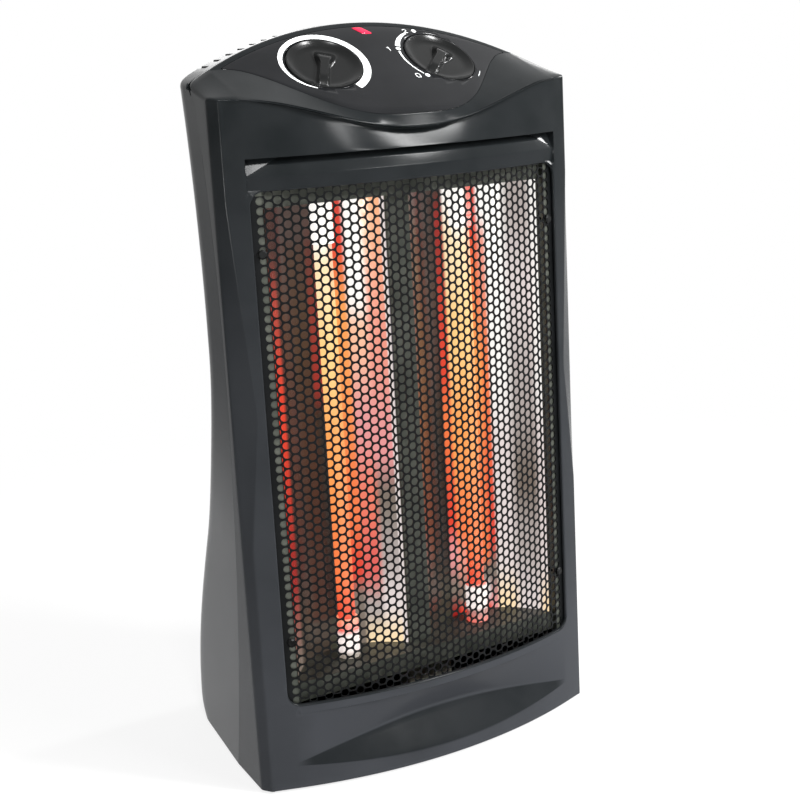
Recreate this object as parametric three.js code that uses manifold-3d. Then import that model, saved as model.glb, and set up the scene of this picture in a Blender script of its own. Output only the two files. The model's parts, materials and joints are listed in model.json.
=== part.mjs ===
// Quartz radiant tower heater: a bowed black plastic case on a flared base, with a perforated steel
// grille, two quartz tubes in polished troughs, and two knobs on a sloped panel.
// Millimetres. +Z up, the front faces -Y, the origin lies on the floor under the middle of the case.

import * as THREE from 'three';
import { mergeVertices } from 'three/addons/utils/BufferGeometryUtils.js';
import Module from 'manifold-3d';

const wasm = await Module();
wasm.setup();

// Case, overall
const caseWidth = 309;
const caseDepth = 211;
const caseHeight = 580;
const halfWidth = caseWidth / 2;
const bowRadius = 1.275 * caseWidth;
const archRadius = 1.02 * caseWidth;
const cornerDepth = 0.12 * caseWidth;
const wall = 2.8;
const fit = 0.3;
const overrun = 5;
const reach = 60;

// Case, side view: how far the seam and the back lie behind the front, and at what heights
const waistHeight = 0.6052 * caseHeight;
const flareFoot = 20;
const heelRound = 15;
const headDrop = 35;
const headHeight = caseHeight - headDrop;
const seamAtFloor = 89.5;
const seamAtWaist = 43;
const seamAtHead = 64.5;
const waistDepth = 47.5;
const backAtWaist = cornerDepth + waistDepth;
const headDepth = 21;
const backAtHead = backAtWaist + headDepth;

// Case, plan view
const cornerBreak = 5;
const frontSideTaper = 0.07;
const rearSideTaper = 0.163;
const rearCorner = 20;
const facetWidth = 15.5;
const facetDrop = 50;
const facetTop = caseHeight - facetDrop;
const facetMiddle = 0.517 * caseHeight;
const facetFoot = 0.26 * caseHeight;
const shoulderBreak = 9;

// Head: the sloped panel, the brow under it and the recess under the brow
const slopeDrop = 70;
const slopeStart = caseHeight - slopeDrop;
const slopeTilt = THREE.MathUtils.degToRad(53);
const panelRise = 2;
const panelLowest = slopeStart + panelRise;
const panelTipDrop = 4.1;
const panelTipInset = 30.5;
const panelTipOut = halfWidth - panelTipInset;
const panelSagPower = 1.9;
const browMiddleDrop = 11.6;
const browMiddle = slopeStart - browMiddleDrop;
const browEndRise = 20.8;
const browEnd = slopeStart + browEndRise;
const browRecess = 7;

// Ledge and grille opening
const stileWidth = 20.5;
const openingHalf = halfWidth - stileWidth;
const sillHeight = 70;
const openingDrop = 44;
const openingTop = slopeStart - openingDrop;
const openingCorner = 12;
const ledgeRise = 22;
const ledgeTop = openingTop + ledgeRise;
const ledgeEndRise = 10;
const ledgeEndTop = openingTop + ledgeEndRise;
const ledgeEndLength = 24;
const ledgeEndOut = openingHalf - ledgeEndLength;
const ledgeGroove = 4;
const ledgeNose = 1.2;
const ledgeNoseDrop = 7;
const ledgeGrooveDrop = 4;

// Scoop under the sill
const scoopInset = 26.5;
const scoopHalf = halfWidth - scoopInset;
const scoopTop = 64;
const scoopCrease = 41;
const scoopCreaseEnd = 24;
const scoopDepth = 15;
const scoopEdge = 1.5;
const lipMiddle = 13;
const lipEnd = 21;

// Vents in the rear housing
const ventWidth = 3.5;
const ventPitch = 10;
const roofVentCount = 7;
const roofVentInset = 86.5;
const roofVentFirst = halfWidth - roofVentInset;
const roofVentRise = 2;
const roofVentFoot = slopeStart + roofVentRise;
const roofVentDepth = 9;
const backVentInset = 74.5;
const backVentHalf = halfWidth - backVentInset;
const backVentHeight = 4;
const backVentPitch = 12;
const backVentDrop = 162;
const backVentUpper = caseHeight - backVentDrop;
const backVentLower = 0.224 * caseHeight;
const backVentCount = 6;

// Floor parts
const footHeight = 2.7;
const plateGap = 1;
const footRadius = 9;
const footSink = 0.7;
const caseFoot = 2;
const plateThickness = 4;
const footInset = 42.5;
const footOut = halfWidth - footInset;
const footFront = 44;
const footRear = 172;

// Screws and their bosses
const bossRadius = 7;
const bossSink = 1;
const pilotHole = 1.8;
const screwShank = 1.5;
const screwHead = 3.6;
const screwHeadHeight = 2;
const rearScrewLength = 16;
const baseScrewLength = 18;
const headScrewInset = 26.5;
const headScrewOut = halfWidth - headScrewInset;
const headScrewDrop = 5;
const headScrewHeight = slopeStart - headScrewDrop;
const lowScrewInset = 36.5;
const lowScrewOut = halfWidth - lowScrewInset;
const lowScrewHeight = 48;
const frontBossInset = 54.5;
const frontBaseBossOut = halfWidth - frontBossInset;
const frontBossStep = 10;
const frontBaseBossDepth = cornerDepth - frontBossStep;
const rearBaseBossDepth = 150;
const baseBossTop = 34;

// Control panel and knobs
const panelThickness = 1.2;
const panelMargin = 3;
const thermostatOut = -0.314 * halfWidth;
const selectorOut = 0.343 * halfWidth;
const knobRise = 40.8;
const knobHeight = slopeStart + knobRise;
const knobRadius = 29;
const knobRim = 6;
const knobDish = 3;
const knobRimWidth = 2.5;
const knobDishRadius = 23;
const knobLift = 0.8;
const gripTop = 9.5;
const gripWidth = 9;
const gripFoot = 13;
const gripHalf = 27;
const gripShares = [[-1, 0], [-0.7, 0.75], [0, 1], [0.7, 0.75], [1, 0]];
const thermostatRest = THREE.MathUtils.degToRad(-21);
const selectorRest = THREE.MathUtils.degToRad(-49);
const spindleRadius = 3;
const spindleInKnob = 7;
const spindleInBody = 12;
const bushRadius = 4.6;
const controlDepth = 20;
const controlGap = 1.2;
const thermostatSide = 34;
const selectorSide = 30;
const pilotDrop = 6.6;
const pilotHeight = caseHeight - pilotDrop;
const pilotWidth = 13;
const pilotTall = 8;
const pilotProud = 0.8;
const lampRadius = 3.4;
const lampLength = 11;

// Grille
const sheet = 1;
const grilleLap = 3;
const grilleSideLap = 2;
const holePitch = 25.6;
const holeRadius = 13.2;
const grilleMargin = 6.5;
const grilleScrewInset = 7;
const grilleScrewOut = openingHalf - grilleScrewInset;
const grilleScrewRise = 52;
const grilleScrewLow = sillHeight + grilleScrewRise;
const grilleScrewDrop = 46;
const grilleScrewHigh = openingTop - grilleScrewDrop;
const grilleScrewLength = 6;

// Reflectors, shield and brackets
const reflectorInset = 15;
const reflectorOut = openingHalf - reflectorInset;
const reflectorStep = 7.5;
const reflectorFront = cornerDepth - reflectorStep;
const apexInset = 72;
const apexOut = openingHalf - apexInset;
const troughDepth = 42.5;
const apexDepth = reflectorFront + troughDepth;
const flangeHalf = 10;
const flangeStep = 16.5;
const flangeDepth = reflectorFront + flangeStep;
const stripThickness = 1.2;
const shieldGap = 3;
const shieldDepth = apexDepth + shieldGap;
const shieldInset = 11;
const shieldHalf = openingHalf - shieldInset;
const bracketRise = 14;
const bracketLow = sillHeight + bracketRise;
const bracketDrop = 14;
const bracketHigh = openingTop - bracketDrop;
const bracketThickness = 1.2;

// Tubes
const tubeOut = apexOut;
const tubeStep = 18.7;
const tubeDepth = apexDepth - tubeStep;
const tubeRadius = 7;
const tubeWall = 1.2;
const coilRadius = 5.2;
const coilTail = 1.2;
const tailLength = 26;
const capRadius = 9;
const capHeight = 33;
const capSocket = 22;
const capNeckRadius = 6;
const capNeckHeight = 7;
const capRib = 1.1;

// Pieces inside the base and behind the shield
const cutoffRadius = 9;
const cutoffHeight = 7;
const cutoffDrop = 26;
const cutoffLevel = openingTop - cutoffDrop;
const switchWidth = 28;
const switchDepthSize = 18;
const switchHeight = 24;
const tipDepth = 150;
const plungerRadius = 4;
const plungerLength = 20;
const plungerClear = 0.35;
const terminalWidth = 44;
const terminalDepthSize = 18;
const terminalHeight = 16;
const terminalOut = 52;
const terminalDepth = 128;
const glandOut = -58;
const glandHeight = 34;
const glandRadius = 9.5;
const glandFlange = 2.4;
const glandNeck = 7;
const glandBore = 4;
const glandLength = 12;
const glandSeat = 3;

// Facets
const bowSteps = 12;
const headSteps = 20;
const archSteps = 16;
const roundSides = 18;
const smallSides = 10;
const tubeSides = 12;
const troughSteps = 6;

// Materials
const finish = (color, roughness, metalness) => new THREE.MeshStandardMaterial({ color, roughness, metalness });
const casePlastic = finish(0x1b1d20, 0.42, 0);
const glossPlastic = finish(0x121315, 0.15, 0);
const panelGloss = finish(0x222326, 0.25, 0);
const blackSteel = finish(0x0d0e0f, 0.35, 0.6);
const polished = finish(0xd9dadb, 0.12, 1);
const zinc = finish(0x9a9c9a, 0.4, 1);
const ceramic = finish(0xece7dc, 0.6, 0);
const quartz = finish(0xffc9a0, 0.1, 0);
const hotWire = finish(0xff5a1e, 0.5, 0.5);
const redLens = finish(0xc0182c, 0.2, 0);
const rubber = finish(0x151515, 0.9, 0);
const darkResin = finish(0x2c2622, 0.6, 0);
const paleResin = finish(0xd8d4c8, 0.55, 0);
const brass = finish(0xb59a55, 0.35, 1);

// Shape helpers
const { lerp, clamp } = THREE.MathUtils;
const at = (x, depth, z) => new THREE.Vector3(x, depth - caseDepth / 2, z);
const spread = (count, from, to) => Array.from({ length: count + 1 }, (_, i) => lerp(from, to, i / count));

function solidOf(geometry) {
  const bare = geometry.clone();
  for (const name of Object.keys(bare.attributes)) {
    if (name !== 'position') bare.deleteAttribute(name);
  }
  const merged = mergeVertices(bare);
  const corners = merged.index.array;
  const kept = [];
  for (let i = 0; i < corners.length; i += 3) {
    const [a, b, c] = [corners[i], corners[i + 1], corners[i + 2]];
    if (a !== b && b !== c && c !== a) kept.push(a, b, c);
  }
  return new wasm.Manifold(new wasm.Mesh({
    numProp: 3,
    vertProperties: merged.attributes.position.array,
    triVerts: Uint32Array.from(kept),
  }));
}

function geometryOf(solid) {
  const mesh = solid.getMesh();
  const geometry = new THREE.BufferGeometry();
  geometry.setAttribute('position', new THREE.BufferAttribute(Float32Array.from(mesh.vertProperties), 3));
  geometry.setIndex(new THREE.BufferAttribute(Uint32Array.from(mesh.triVerts), 1));
  geometry.computeVertexNormals();
  return geometry;
}

// A closed skin over a row of rings with equal numbers of points; flat() gives a ring's own plane.
function loft(rings, flat) {
  const points = rings.flat();
  const n = rings[0].length;
  const faces = [];
  for (let r = 0; r + 1 < rings.length; r += 1) {
    for (let i = 0; i < n; i += 1) {
      const j = (i + 1) % n;
      const low = r * n;
      const high = low + n;
      faces.push(low + i, low + j, high + j, low + i, high + j, high + i);
    }
  }
  const cap = (start, ring, reversed) => {
    const outline = ring.map(flat);
    const side = Math.sign(THREE.ShapeUtils.area(outline));
    for (const [a, b, c] of THREE.ShapeUtils.triangulateShape(outline, [])) {
      const turn = Math.sign(THREE.ShapeUtils.area([outline[a], outline[b], outline[c]]));
      const ahead = (turn === side) !== reversed;
      faces.push(start + a, start + (ahead ? b : c), start + (ahead ? c : b));
    }
  };
  cap(0, rings[0], true);
  cap(points.length - n, rings.at(-1), false);
  let volume = 0;
  for (let i = 0; i < faces.length; i += 3) {
    const [a, b, c] = [points[faces[i]], points[faces[i + 1]], points[faces[i + 2]]];
    volume += a.dot(b.clone().cross(c));
  }
  if (volume < 0) faces.reverse();
  const geometry = new THREE.BufferGeometry().setFromPoints(points);
  geometry.setIndex(faces);
  return geometry;
}
const alongZ = (p) => new THREE.Vector2(p.x, p.y);
const alongX = (p) => new THREE.Vector2(p.y, p.z);

// A bar of a given outline in x and depth, standing between two heights
function upright(outline, from, to) {
  return loft([from, to].map((z) => outline.map(([x, depth]) => at(x, depth, z))), alongZ);
}

// A bar of a given outline in x and height, running from the front backwards
function frontal(outline, from, to) {
  return loft([from, to].map((depth) => outline.map(([x, z]) => at(x, depth, z))), (p) => new THREE.Vector2(p.x, p.z));
}

function block(width, deep, tall) {
  return new THREE.BoxGeometry(width, deep, tall);
}

function cylinder(radius, length, sides = roundSides) {
  return new THREE.CylinderGeometry(radius, radius, length, sides).rotateX(Math.PI / 2);
}

// A rod between two points
function rod(from, to, radius, sides = smallSides, spin = 0) {
  const length = from.distanceTo(to);
  const turn = new THREE.Quaternion().setFromUnitVectors(
    new THREE.Vector3(0, 0, 1),
    to.clone().sub(from).normalize(),
  );
  const middle = from.clone().add(to).multiplyScalar(1 / 2);
  return cylinder(radius, length, sides).rotateZ(spin).applyQuaternion(turn).translate(middle.x, middle.y, middle.z);
}

// A turned piece: the profile is a list of [radius, height] that starts and ends on the axis or closes
function turned(profile, sides = roundSides) {
  const outline = profile.map(([radius, height]) => new THREE.Vector2(radius, height));
  return new THREE.LatheGeometry(outline, sides).rotateX(Math.PI / 2);
}

// A rounded rectangle as [x, z] points
function roundedFrame(half, low, high, corner, steps) {
  const corners = [
    [half - corner, low + corner, -Math.PI / 2],
    [half - corner, high - corner, 0],
    [corner - half, high - corner, Math.PI / 2],
    [corner - half, low + corner, Math.PI],
  ];
  return corners.flatMap(([x, z, start]) => spread(steps, start, start + Math.PI / 2)
    .map((angle) => [x + corner * Math.cos(angle), z + corner * Math.sin(angle)]));
}

const group = new THREE.Group();
function place(name, shape, material, position = null, parent = group) {
  const geometry = shape.isBufferGeometry ? geometryOf(solidOf(shape)) : geometryOf(shape);
  const mesh = new THREE.Mesh(geometry, material);
  mesh.name = name;
  if (position) mesh.position.copy(position);
  parent.add(mesh);
  return mesh;
}

// Case surfaces, as depths behind the front
const square = (t) => t * t;
const ease = (t) => t * t * (3 - 2 * t);
const bowAt = (x, inset = 0) => bowRadius - Math.sqrt(square(bowRadius - inset) - x * x);
const archAt = (x, inset = 0) => caseHeight - archRadius + Math.sqrt(square(archRadius - inset) - x * x);
const slopeAt = (x, z) => bowAt(x) + (z - slopeStart) * Math.tan(slopeTilt);
const straightBack = (thickness) => thickness / Math.cos(slopeTilt);
const panelTip = archAt(panelTipOut) - panelTipDrop;
const panelEdgeAt = (x) => lerp(panelLowest, panelTip, ease(clamp(Math.abs(x / panelTipOut), 0, 1)) ** panelSagPower);
const behindBow = (x, inset, z) => at(
  x * (1 - inset / bowRadius),
  bowRadius - (bowRadius - inset) * Math.sqrt(1 - square(x / bowRadius)),
  z,
);
const browAt = (x) => lerp(browMiddle, browEnd, (1 - Math.cos(Math.PI * clamp(x / halfWidth, -1, 1))) / 2);

function seamAt(z) {
  const down = z < waistHeight;
  const share = clamp((z - waistHeight) / (down ? -waistHeight : headHeight - waistHeight), 0, 1);
  return lerp(seamAtWaist, down ? seamAtFloor : seamAtHead, square(share));
}

function backAt(z) {
  const down = z < waistHeight;
  const share = clamp((z - waistHeight) / ((down ? flareFoot : headHeight) - waistHeight), 0, 1);
  const heel = heelRound * square(clamp(1 - z / flareFoot, 0, 1));
  return (down ? lerp(backAtWaist, caseDepth, ease(share)) : lerp(backAtWaist, backAtHead, square(share))) - heel;
}

function facetAt(z) {
  const share = z > facetMiddle
    ? (facetTop - z) / (facetTop - facetMiddle)
    : (z - facetFoot) / (facetMiddle - facetFoot);
  return facetWidth * clamp(share, 0, 1);
}

function sideAt(depth, z) {
  const front = Math.min(depth, seamAt(z)) - cornerDepth;
  const rear = Math.max(depth - seamAt(z), 0);
  return halfWidth - frontSideTaper * front - rearSideTaper * rear;
}

// One level of the case, as a ring of points
function caseRing(z, inset) {
  const ridge = halfWidth - Math.max(cornerBreak, facetAt(z)) - inset;
  const corner = new THREE.Vector2(sideAt(cornerDepth, z) - inset, cornerDepth + inset);
  const edge = new THREE.Vector2(ridge, bowAt(ridge, inset));
  const breakIn = corner.clone().add(edge.clone().sub(corner).setLength(cornerBreak));
  const breakBack = new THREE.Vector2(corner.x, corner.y + Math.min(cornerBreak, (seamAt(z) - corner.y) / 2));
  const back = backAt(z) - inset;
  const seam = new THREE.Vector2(sideAt(seamAt(z), z) - inset, seamAt(z));
  const heel = new THREE.Vector2(sideAt(back, z) - inset, back);
  const turn = new THREE.QuadraticBezierCurve(
    new THREE.Vector2(sideAt(back - rearCorner, z) - inset, back - rearCorner),
    heel,
    new THREE.Vector2(heel.x - rearCorner, back),
  );
  const right = [breakIn, breakBack, seam, ...turn.getPoints(4)];
  const left = right.map((p) => new THREE.Vector2(-p.x, p.y)).reverse();
  const front = spread(bowSteps, -ridge, ridge).map((x) => new THREE.Vector2(x, bowAt(x, inset)));
  return [...front, ...right, ...left].map((p) => at(p.x, p.y, z));
}

// The case seen from the front, under its arch
function archOutline(inset) {
  const side = halfWidth - inset;
  const shoulder = new THREE.QuadraticBezierCurve(
    new THREE.Vector2(side, archAt(side, inset) - shoulderBreak),
    new THREE.Vector2(side, archAt(side, inset)),
    new THREE.Vector2(side - shoulderBreak, archAt(side - shoulderBreak, inset)),
  ).getPoints(3);
  const arch = spread(archSteps, side - shoulderBreak, shoulderBreak - side).slice(1, -1)
    .map((x) => new THREE.Vector2(x, archAt(x, inset)));
  const mirrored = shoulder.map((p) => new THREE.Vector2(-p.x, p.y)).reverse();
  const top = [...shoulder, ...arch, ...mirrored].map((p) => [p.x, p.y]);
  return [[-side, -reach], [side, -reach], ...top];
}

// A cut that follows the bowed front: section() gives [depth, height] points at each x
function frontCut(half, steps, section) {
  return solidOf(loft(spread(steps, -half, half).map((x) => section(x).map(([d, z]) => at(x, d, z))), alongX));
}

function headCut(inset) {
  const down = 0.6 * inset;
  return frontCut(halfWidth + overrun, headSteps, (x) => {
    const edge = Math.min(panelEdgeAt(x), archAt(x));
    const top = caseHeight + reach;
    return [
      [-reach, browAt(x) - down],
      [bowAt(x) + inset, browAt(x) - down],
      [slopeAt(x, edge) + inset, edge - down],
      [slopeAt(x, top) + inset, top - down],
      [-reach, top - down],
    ];
  });
}

function browCut(inset) {
  const half = halfWidth - cornerBreak;
  return frontCut(half, bowSteps, (x) => {
    const recess = fit + browRecess * Math.cos((Math.PI * x) / (2 * half));
    return [
      [-reach, browAt(x) + inset],
      [bowAt(x) + recess + inset, browAt(x) + inset / 2],
      [bowAt(x) + inset, ledgeTop - inset],
      [-reach, ledgeTop - inset],
    ];
  });
}

function ledgeCut() {
  const top = (x) => lerp(ledgeTop, ledgeEndTop, clamp((Math.abs(x) - ledgeEndOut) / (openingHalf - ledgeEndOut), 0, 1));
  return frontCut(openingHalf, bowSteps, (x) => [
    [-reach, top(x)],
    [bowAt(x) + ledgeGroove, top(x)],
    [bowAt(x) + ledgeGroove, top(x) - ledgeGrooveDrop],
    [bowAt(x) + ledgeNose, top(x) - ledgeNoseDrop],
    [bowAt(x) + wall, openingTop - fit],
    [-reach, openingTop - fit],
  ]);
}

function scoopCut(inset) {
  return frontCut(scoopHalf + inset, bowSteps, (x) => {
    const share = Math.cos((Math.PI * x) / (2 * (scoopHalf + inset)));
    const lip = lerp(lipEnd, lipMiddle, share);
    return [
      [-reach, scoopTop + inset],
      [bowAt(x) + scoopEdge * share + inset, scoopTop + inset],
      [bowAt(x) + scoopDepth * share + inset, lerp(scoopCreaseEnd, scoopCrease, share)],
      [bowAt(x) + inset, lip - inset],
      [-reach, lip - inset],
    ];
  });
}

const caseLevels = [
  ...spread(2, flareFoot / 3, flareFoot).slice(0, 2),
  ...spread(9, flareFoot, facetMiddle),
  waistHeight,
  ...spread(3, waistHeight, facetTop).slice(1),
  caseHeight + overrun,
];

// The whole case as one lump, drawn in by an inset
function caseLump(inset, foot) {
  const rings = [foot, ...caseLevels].map((z) => caseRing(z, inset));
  const arch = solidOf(frontal(archOutline(inset), -reach, caseDepth + reach));
  return solidOf(loft(rings, alongZ)).intersect(arch)
    .subtract(headCut(inset)).subtract(browCut(inset)).subtract(scoopCut(inset));
}

// Everything in front of the seam, with a clearance behind it
function frontRegion(clearance) {
  const levels = [-reach, 0, ...caseLevels.filter((z) => z < facetTop), headHeight];
  const flank = (x) => [
    at(x, -reach, -reach),
    ...levels.map((z) => at(x, seamAt(z) + clearance, z)),
    at(x, -reach, headHeight),
  ];
  const body = solidOf(loft([-caseWidth, caseWidth].map(flank), alongX));
  const back = straightBack(wall + controlGap) + clearance;
  const head = frontCut(halfWidth + overrun, headSteps, (x) => [
    [-reach, slopeStart],
    [slopeAt(x, slopeStart) + back, slopeStart],
    [slopeAt(x, caseHeight + reach) + back, caseHeight + reach],
    [-reach, caseHeight + reach],
  ]);
  return body.add(head);
}

// The frame on the sloped panel at a given x: origin on its surface, +Z out of it, +Y up it
function panelFrame(x, z) {
  const lean = x / Math.sqrt(square(bowRadius) - x * x);
  const across = new THREE.Vector3(1, lean, 0).normalize();
  const out = new THREE.Vector3(lean, -1, Math.tan(slopeTilt)).normalize();
  const up = out.clone().cross(across);
  const frame = new THREE.Matrix4().makeBasis(across, up, out);
  return frame.setPosition(at(x, slopeAt(x, z), z));
}

function inPanel(geometry, x, z) {
  return geometry.applyMatrix4(panelFrame(x, z));
}

// The panel's own outline in x and height, drawn in by a margin
function panelOutline(margin) {
  const tip = panelTipOut - 3 * margin;
  const xs = spread(headSteps, -tip, tip);
  const low = xs.map((x) => [x, panelEdgeAt((x * panelTipOut) / tip) + margin]);
  const high = xs.slice(1, -1).reverse()
    .map((x) => [x, Math.max(archAt(x) - panelMargin, panelEdgeAt((x * panelTipOut) / tip) + 3 * fit) - margin]);
  return [...low, ...high];
}

// A slab that lies in the sloped surface between two depths measured straight back
function slopeSlab(outline, from, to) {
  const bottom = slopeStart - reach;
  const top = caseHeight + reach;
  const slab = frontCut(halfWidth, headSteps, (x) => [
    [slopeAt(x, bottom) + from, bottom],
    [slopeAt(x, bottom) + to, bottom],
    [slopeAt(x, top) + to, top],
    [slopeAt(x, top) + from, top],
  ]);
  return slab.intersect(solidOf(frontal(outline, -reach, caseDepth)));
}

// Screw places
const rearScrews = [-1, 1].flatMap((side) => [
  [side * headScrewOut, headScrewHeight],
  [side * lowScrewOut, lowScrewHeight],
]);
const rearBaseBossOut = sideAt(rearBaseBossDepth, baseBossTop) - wall - bossRadius + bossSink;
const baseScrews = [-1, 1].flatMap((side) => [
  [side * frontBaseBossOut, frontBaseBossDepth],
  [side * rearBaseBossOut, rearBaseBossDepth],
]);

const screwSeat = (z) => seamAt(z) + fit + wall;

function frontHousing() {
  const cavity = caseLump(wall, -reach);
  const lump = caseLump(0, caseFoot);
  let shell = lump.intersect(frontRegion(0)).subtract(cavity);
  for (const [x, z] of rearScrews) {
    shell = shell.add(solidOf(rod(at(x, 0, z), at(x, seamAt(z), z), bossRadius)).intersect(lump));
  }
  const bossFoot = caseFoot + plateThickness + fit;
  for (const [x, depth] of baseScrews.filter((place) => place[1] === frontBaseBossDepth)) {
    shell = shell.add(solidOf(rod(at(x, depth, bossFoot), at(x, depth, baseBossTop), bossRadius)));
    const rib = upright([
      [x - wall / 2, 0], [x + wall / 2, 0], [x + wall / 2, depth], [x - wall / 2, depth],
    ], bossFoot, baseBossTop);
    shell = shell.add(solidOf(rib).intersect(lump));
  }
  shell = shell.subtract(ledgeCut());
  const opening = roundedFrame(openingHalf, sillHeight, openingTop, openingCorner, 4);
  shell = shell.subtract(solidOf(frontal(opening, -reach, cornerDepth)));
  shell = shell.subtract(slopeSlab(panelOutline(0), -reach, straightBack(panelThickness) + fit));
  for (const x of [thermostatOut, selectorOut]) {
    shell = shell.subtract(solidOf(inPanel(cylinder(bushRadius + fit, reach), x, knobHeight)));
  }
  const lampHole = block(pilotWidth + 2 * fit, pilotTall + 2 * fit, reach);
  shell = shell.subtract(solidOf(inPanel(lampHole, 0, pilotHeight)));
  for (const [x, z] of rearScrews) {
    const tip = seamAt(z) + fit + wall - rearScrewLength - fit;
    shell = shell.subtract(solidOf(rod(at(x, tip, z), at(x, seamAt(z) + overrun, z), pilotHole)));
  }
  for (const [x, depth] of baseScrews.filter((place) => place[1] === frontBaseBossDepth)) {
    shell = shell.subtract(solidOf(rod(at(x, depth, 0), at(x, depth, caseFoot + baseScrewLength + wall), pilotHole)));
  }
  return shell;
}

function rearHousing() {
  const cavity = caseLump(wall, -reach);
  const lump = caseLump(0, caseFoot);
  let shell = lump.subtract(frontRegion(fit)).subtract(cavity);
  for (const [x, z] of rearScrews) {
    const sleeve = rod(at(x, seamAt(z) + fit, z), at(x, backAt(z) + reach, z), bossRadius);
    shell = shell.add(solidOf(sleeve).intersect(lump));
  }
  const bossFoot = caseFoot + plateThickness + fit;
  for (const [x, depth] of baseScrews.filter((place) => place[1] === rearBaseBossDepth)) {
    const boss = rod(at(x, depth, bossFoot), at(x, depth, baseBossTop), bossRadius);
    shell = shell.add(solidOf(boss).intersect(lump));
  }
  const glandBoss = rod(
    at(glandOut, caseDepth - wall - glandSeat, glandHeight),
    at(glandOut, caseDepth, glandHeight),
    glandRadius + wall,
    roundSides,
  );
  shell = shell.add(solidOf(glandBoss).intersect(lump));
  for (const [x, z] of rearScrews) {
    const bore = rod(at(x, screwSeat(z), z), at(x, caseDepth + reach, z), screwHead + fit);
    const through = rod(at(x, 0, z), at(x, caseDepth + reach, z), screwShank + fit);
    shell = shell.subtract(solidOf(bore)).subtract(solidOf(through));
  }
  for (const [x, depth] of baseScrews.filter((place) => place[1] === rearBaseBossDepth)) {
    shell = shell.subtract(solidOf(rod(at(x, depth, 0), at(x, depth, caseFoot + baseScrewLength + wall), pilotHole)));
  }
  const glandWell = rod(
    at(glandOut, caseDepth - glandSeat, glandHeight),
    at(glandOut, caseDepth + overrun, glandHeight),
    glandRadius + fit,
    roundSides,
  );
  const glandHole = rod(
    at(glandOut, caseDepth - reach, glandHeight),
    at(glandOut, caseDepth + overrun, glandHeight),
    glandNeck + fit,
    roundSides,
  );
  shell = shell.subtract(solidOf(glandWell)).subtract(solidOf(glandHole));
  for (const side of [-1, 1]) {
    for (let i = 0; i < roofVentCount; i += 1) {
      const x = side * (roofVentFirst + i * ventPitch);
      const slot = frontal([
        [x - ventWidth / 2, roofVentFoot], [x + ventWidth / 2, roofVentFoot],
        [x + ventWidth / 2, caseHeight + reach], [x - ventWidth / 2, caseHeight + reach],
      ], backAtHead - roofVentDepth, caseDepth + reach);
      shell = shell.subtract(solidOf(slot));
    }
  }
  for (const start of [backVentUpper, backVentLower]) {
    for (let i = 0; i < backVentCount; i += 1) {
      const z = start + i * backVentPitch;
      const depth = backAt(z) - rearCorner;
      const slot = frontal(roundedFrame(backVentHalf, z, z + backVentHeight, backVentHeight / 3, 1), depth, caseDepth + reach);
      shell = shell.subtract(solidOf(slot));
    }
  }
  return shell;
}

place('front_housing', frontHousing(), casePlastic);
place('rear_housing', rearHousing(), casePlastic);

// Base plate with its feet
function basePlate() {
  const rings = [caseFoot, caseFoot + plateThickness].map((z) => caseRing(z, wall + plateGap));
  let plate = solidOf(loft(rings, alongZ));
  const top = caseFoot + plateThickness + overrun;
  for (const [x, depth] of baseScrews) {
    const sink = rod(at(x, depth, -overrun), at(x, depth, caseFoot + screwHeadHeight + fit), screwHead + fit);
    plate = plate.subtract(solidOf(sink)).subtract(solidOf(rod(at(x, depth, 0), at(x, depth, top), screwShank + fit)));
  }
  for (const [x, depth] of footPlaces) {
    const seat = rod(at(x, depth, -overrun), at(x, depth, footHeight + fit), footRadius + fit, roundSides);
    plate = plate.subtract(solidOf(seat));
  }
  const hole = rod(at(0, tipDepth, -overrun), at(0, tipDepth, top), plungerRadius + fit);
  return plate.subtract(solidOf(hole));
}
const footPlaces = [footFront, footRear].flatMap((depth) => [[-footOut, depth], [footOut, depth]]);
place('base_plate', basePlate(), casePlastic);
footPlaces.forEach(([x, depth], i) => {
  const profile = [
    [0, 0], [footRadius - footSink, 0], [footRadius, footSink], [footRadius, footHeight], [0, footHeight],
  ];
  place(`foot_${i + 1}`, turned(profile), rubber, at(x, depth, 0));
});

// Screws: the head's underside is at the origin and the shank runs along +Z
function screw(length, head = screwHead) {
  return turned([
    [0, -screwHeadHeight], [head * 0.7, -screwHeadHeight], [head, -screwHeadHeight / 2], [head, 0],
    [screwShank, 0], [screwShank, length - screwShank], [0, length],
  ], smallSides);
}
const toFront = new THREE.Euler(Math.PI / 2, 0, 0);
const toBack = new THREE.Euler(-Math.PI / 2, 0, 0);
rearScrews.forEach(([x, z], i) => {
  const mesh = place(`rear_screw_${i + 1}`, screw(rearScrewLength), zinc, at(x, screwSeat(z) + fit, z));
  mesh.rotation.copy(toFront);
});
baseScrews.forEach(([x, depth], i) => {
  const seat = caseFoot + screwHeadHeight;
  place(`base_screw_${i + 1}`, screw(baseScrewLength), zinc, at(x, depth, seat));
});

// Control panel
function controlPanel() {
  let panel = slopeSlab(panelOutline(fit), 0, straightBack(panelThickness));
  for (const x of [thermostatOut, selectorOut]) {
    panel = panel.subtract(solidOf(inPanel(cylinder(bushRadius + fit, reach), x, knobHeight)));
  }
  const window = block(pilotWidth + 2 * fit, pilotTall + 2 * fit, reach);
  return panel.subtract(solidOf(inPanel(window, 0, pilotHeight)));
}
place('control_panel', controlPanel(), panelGloss);

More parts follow.
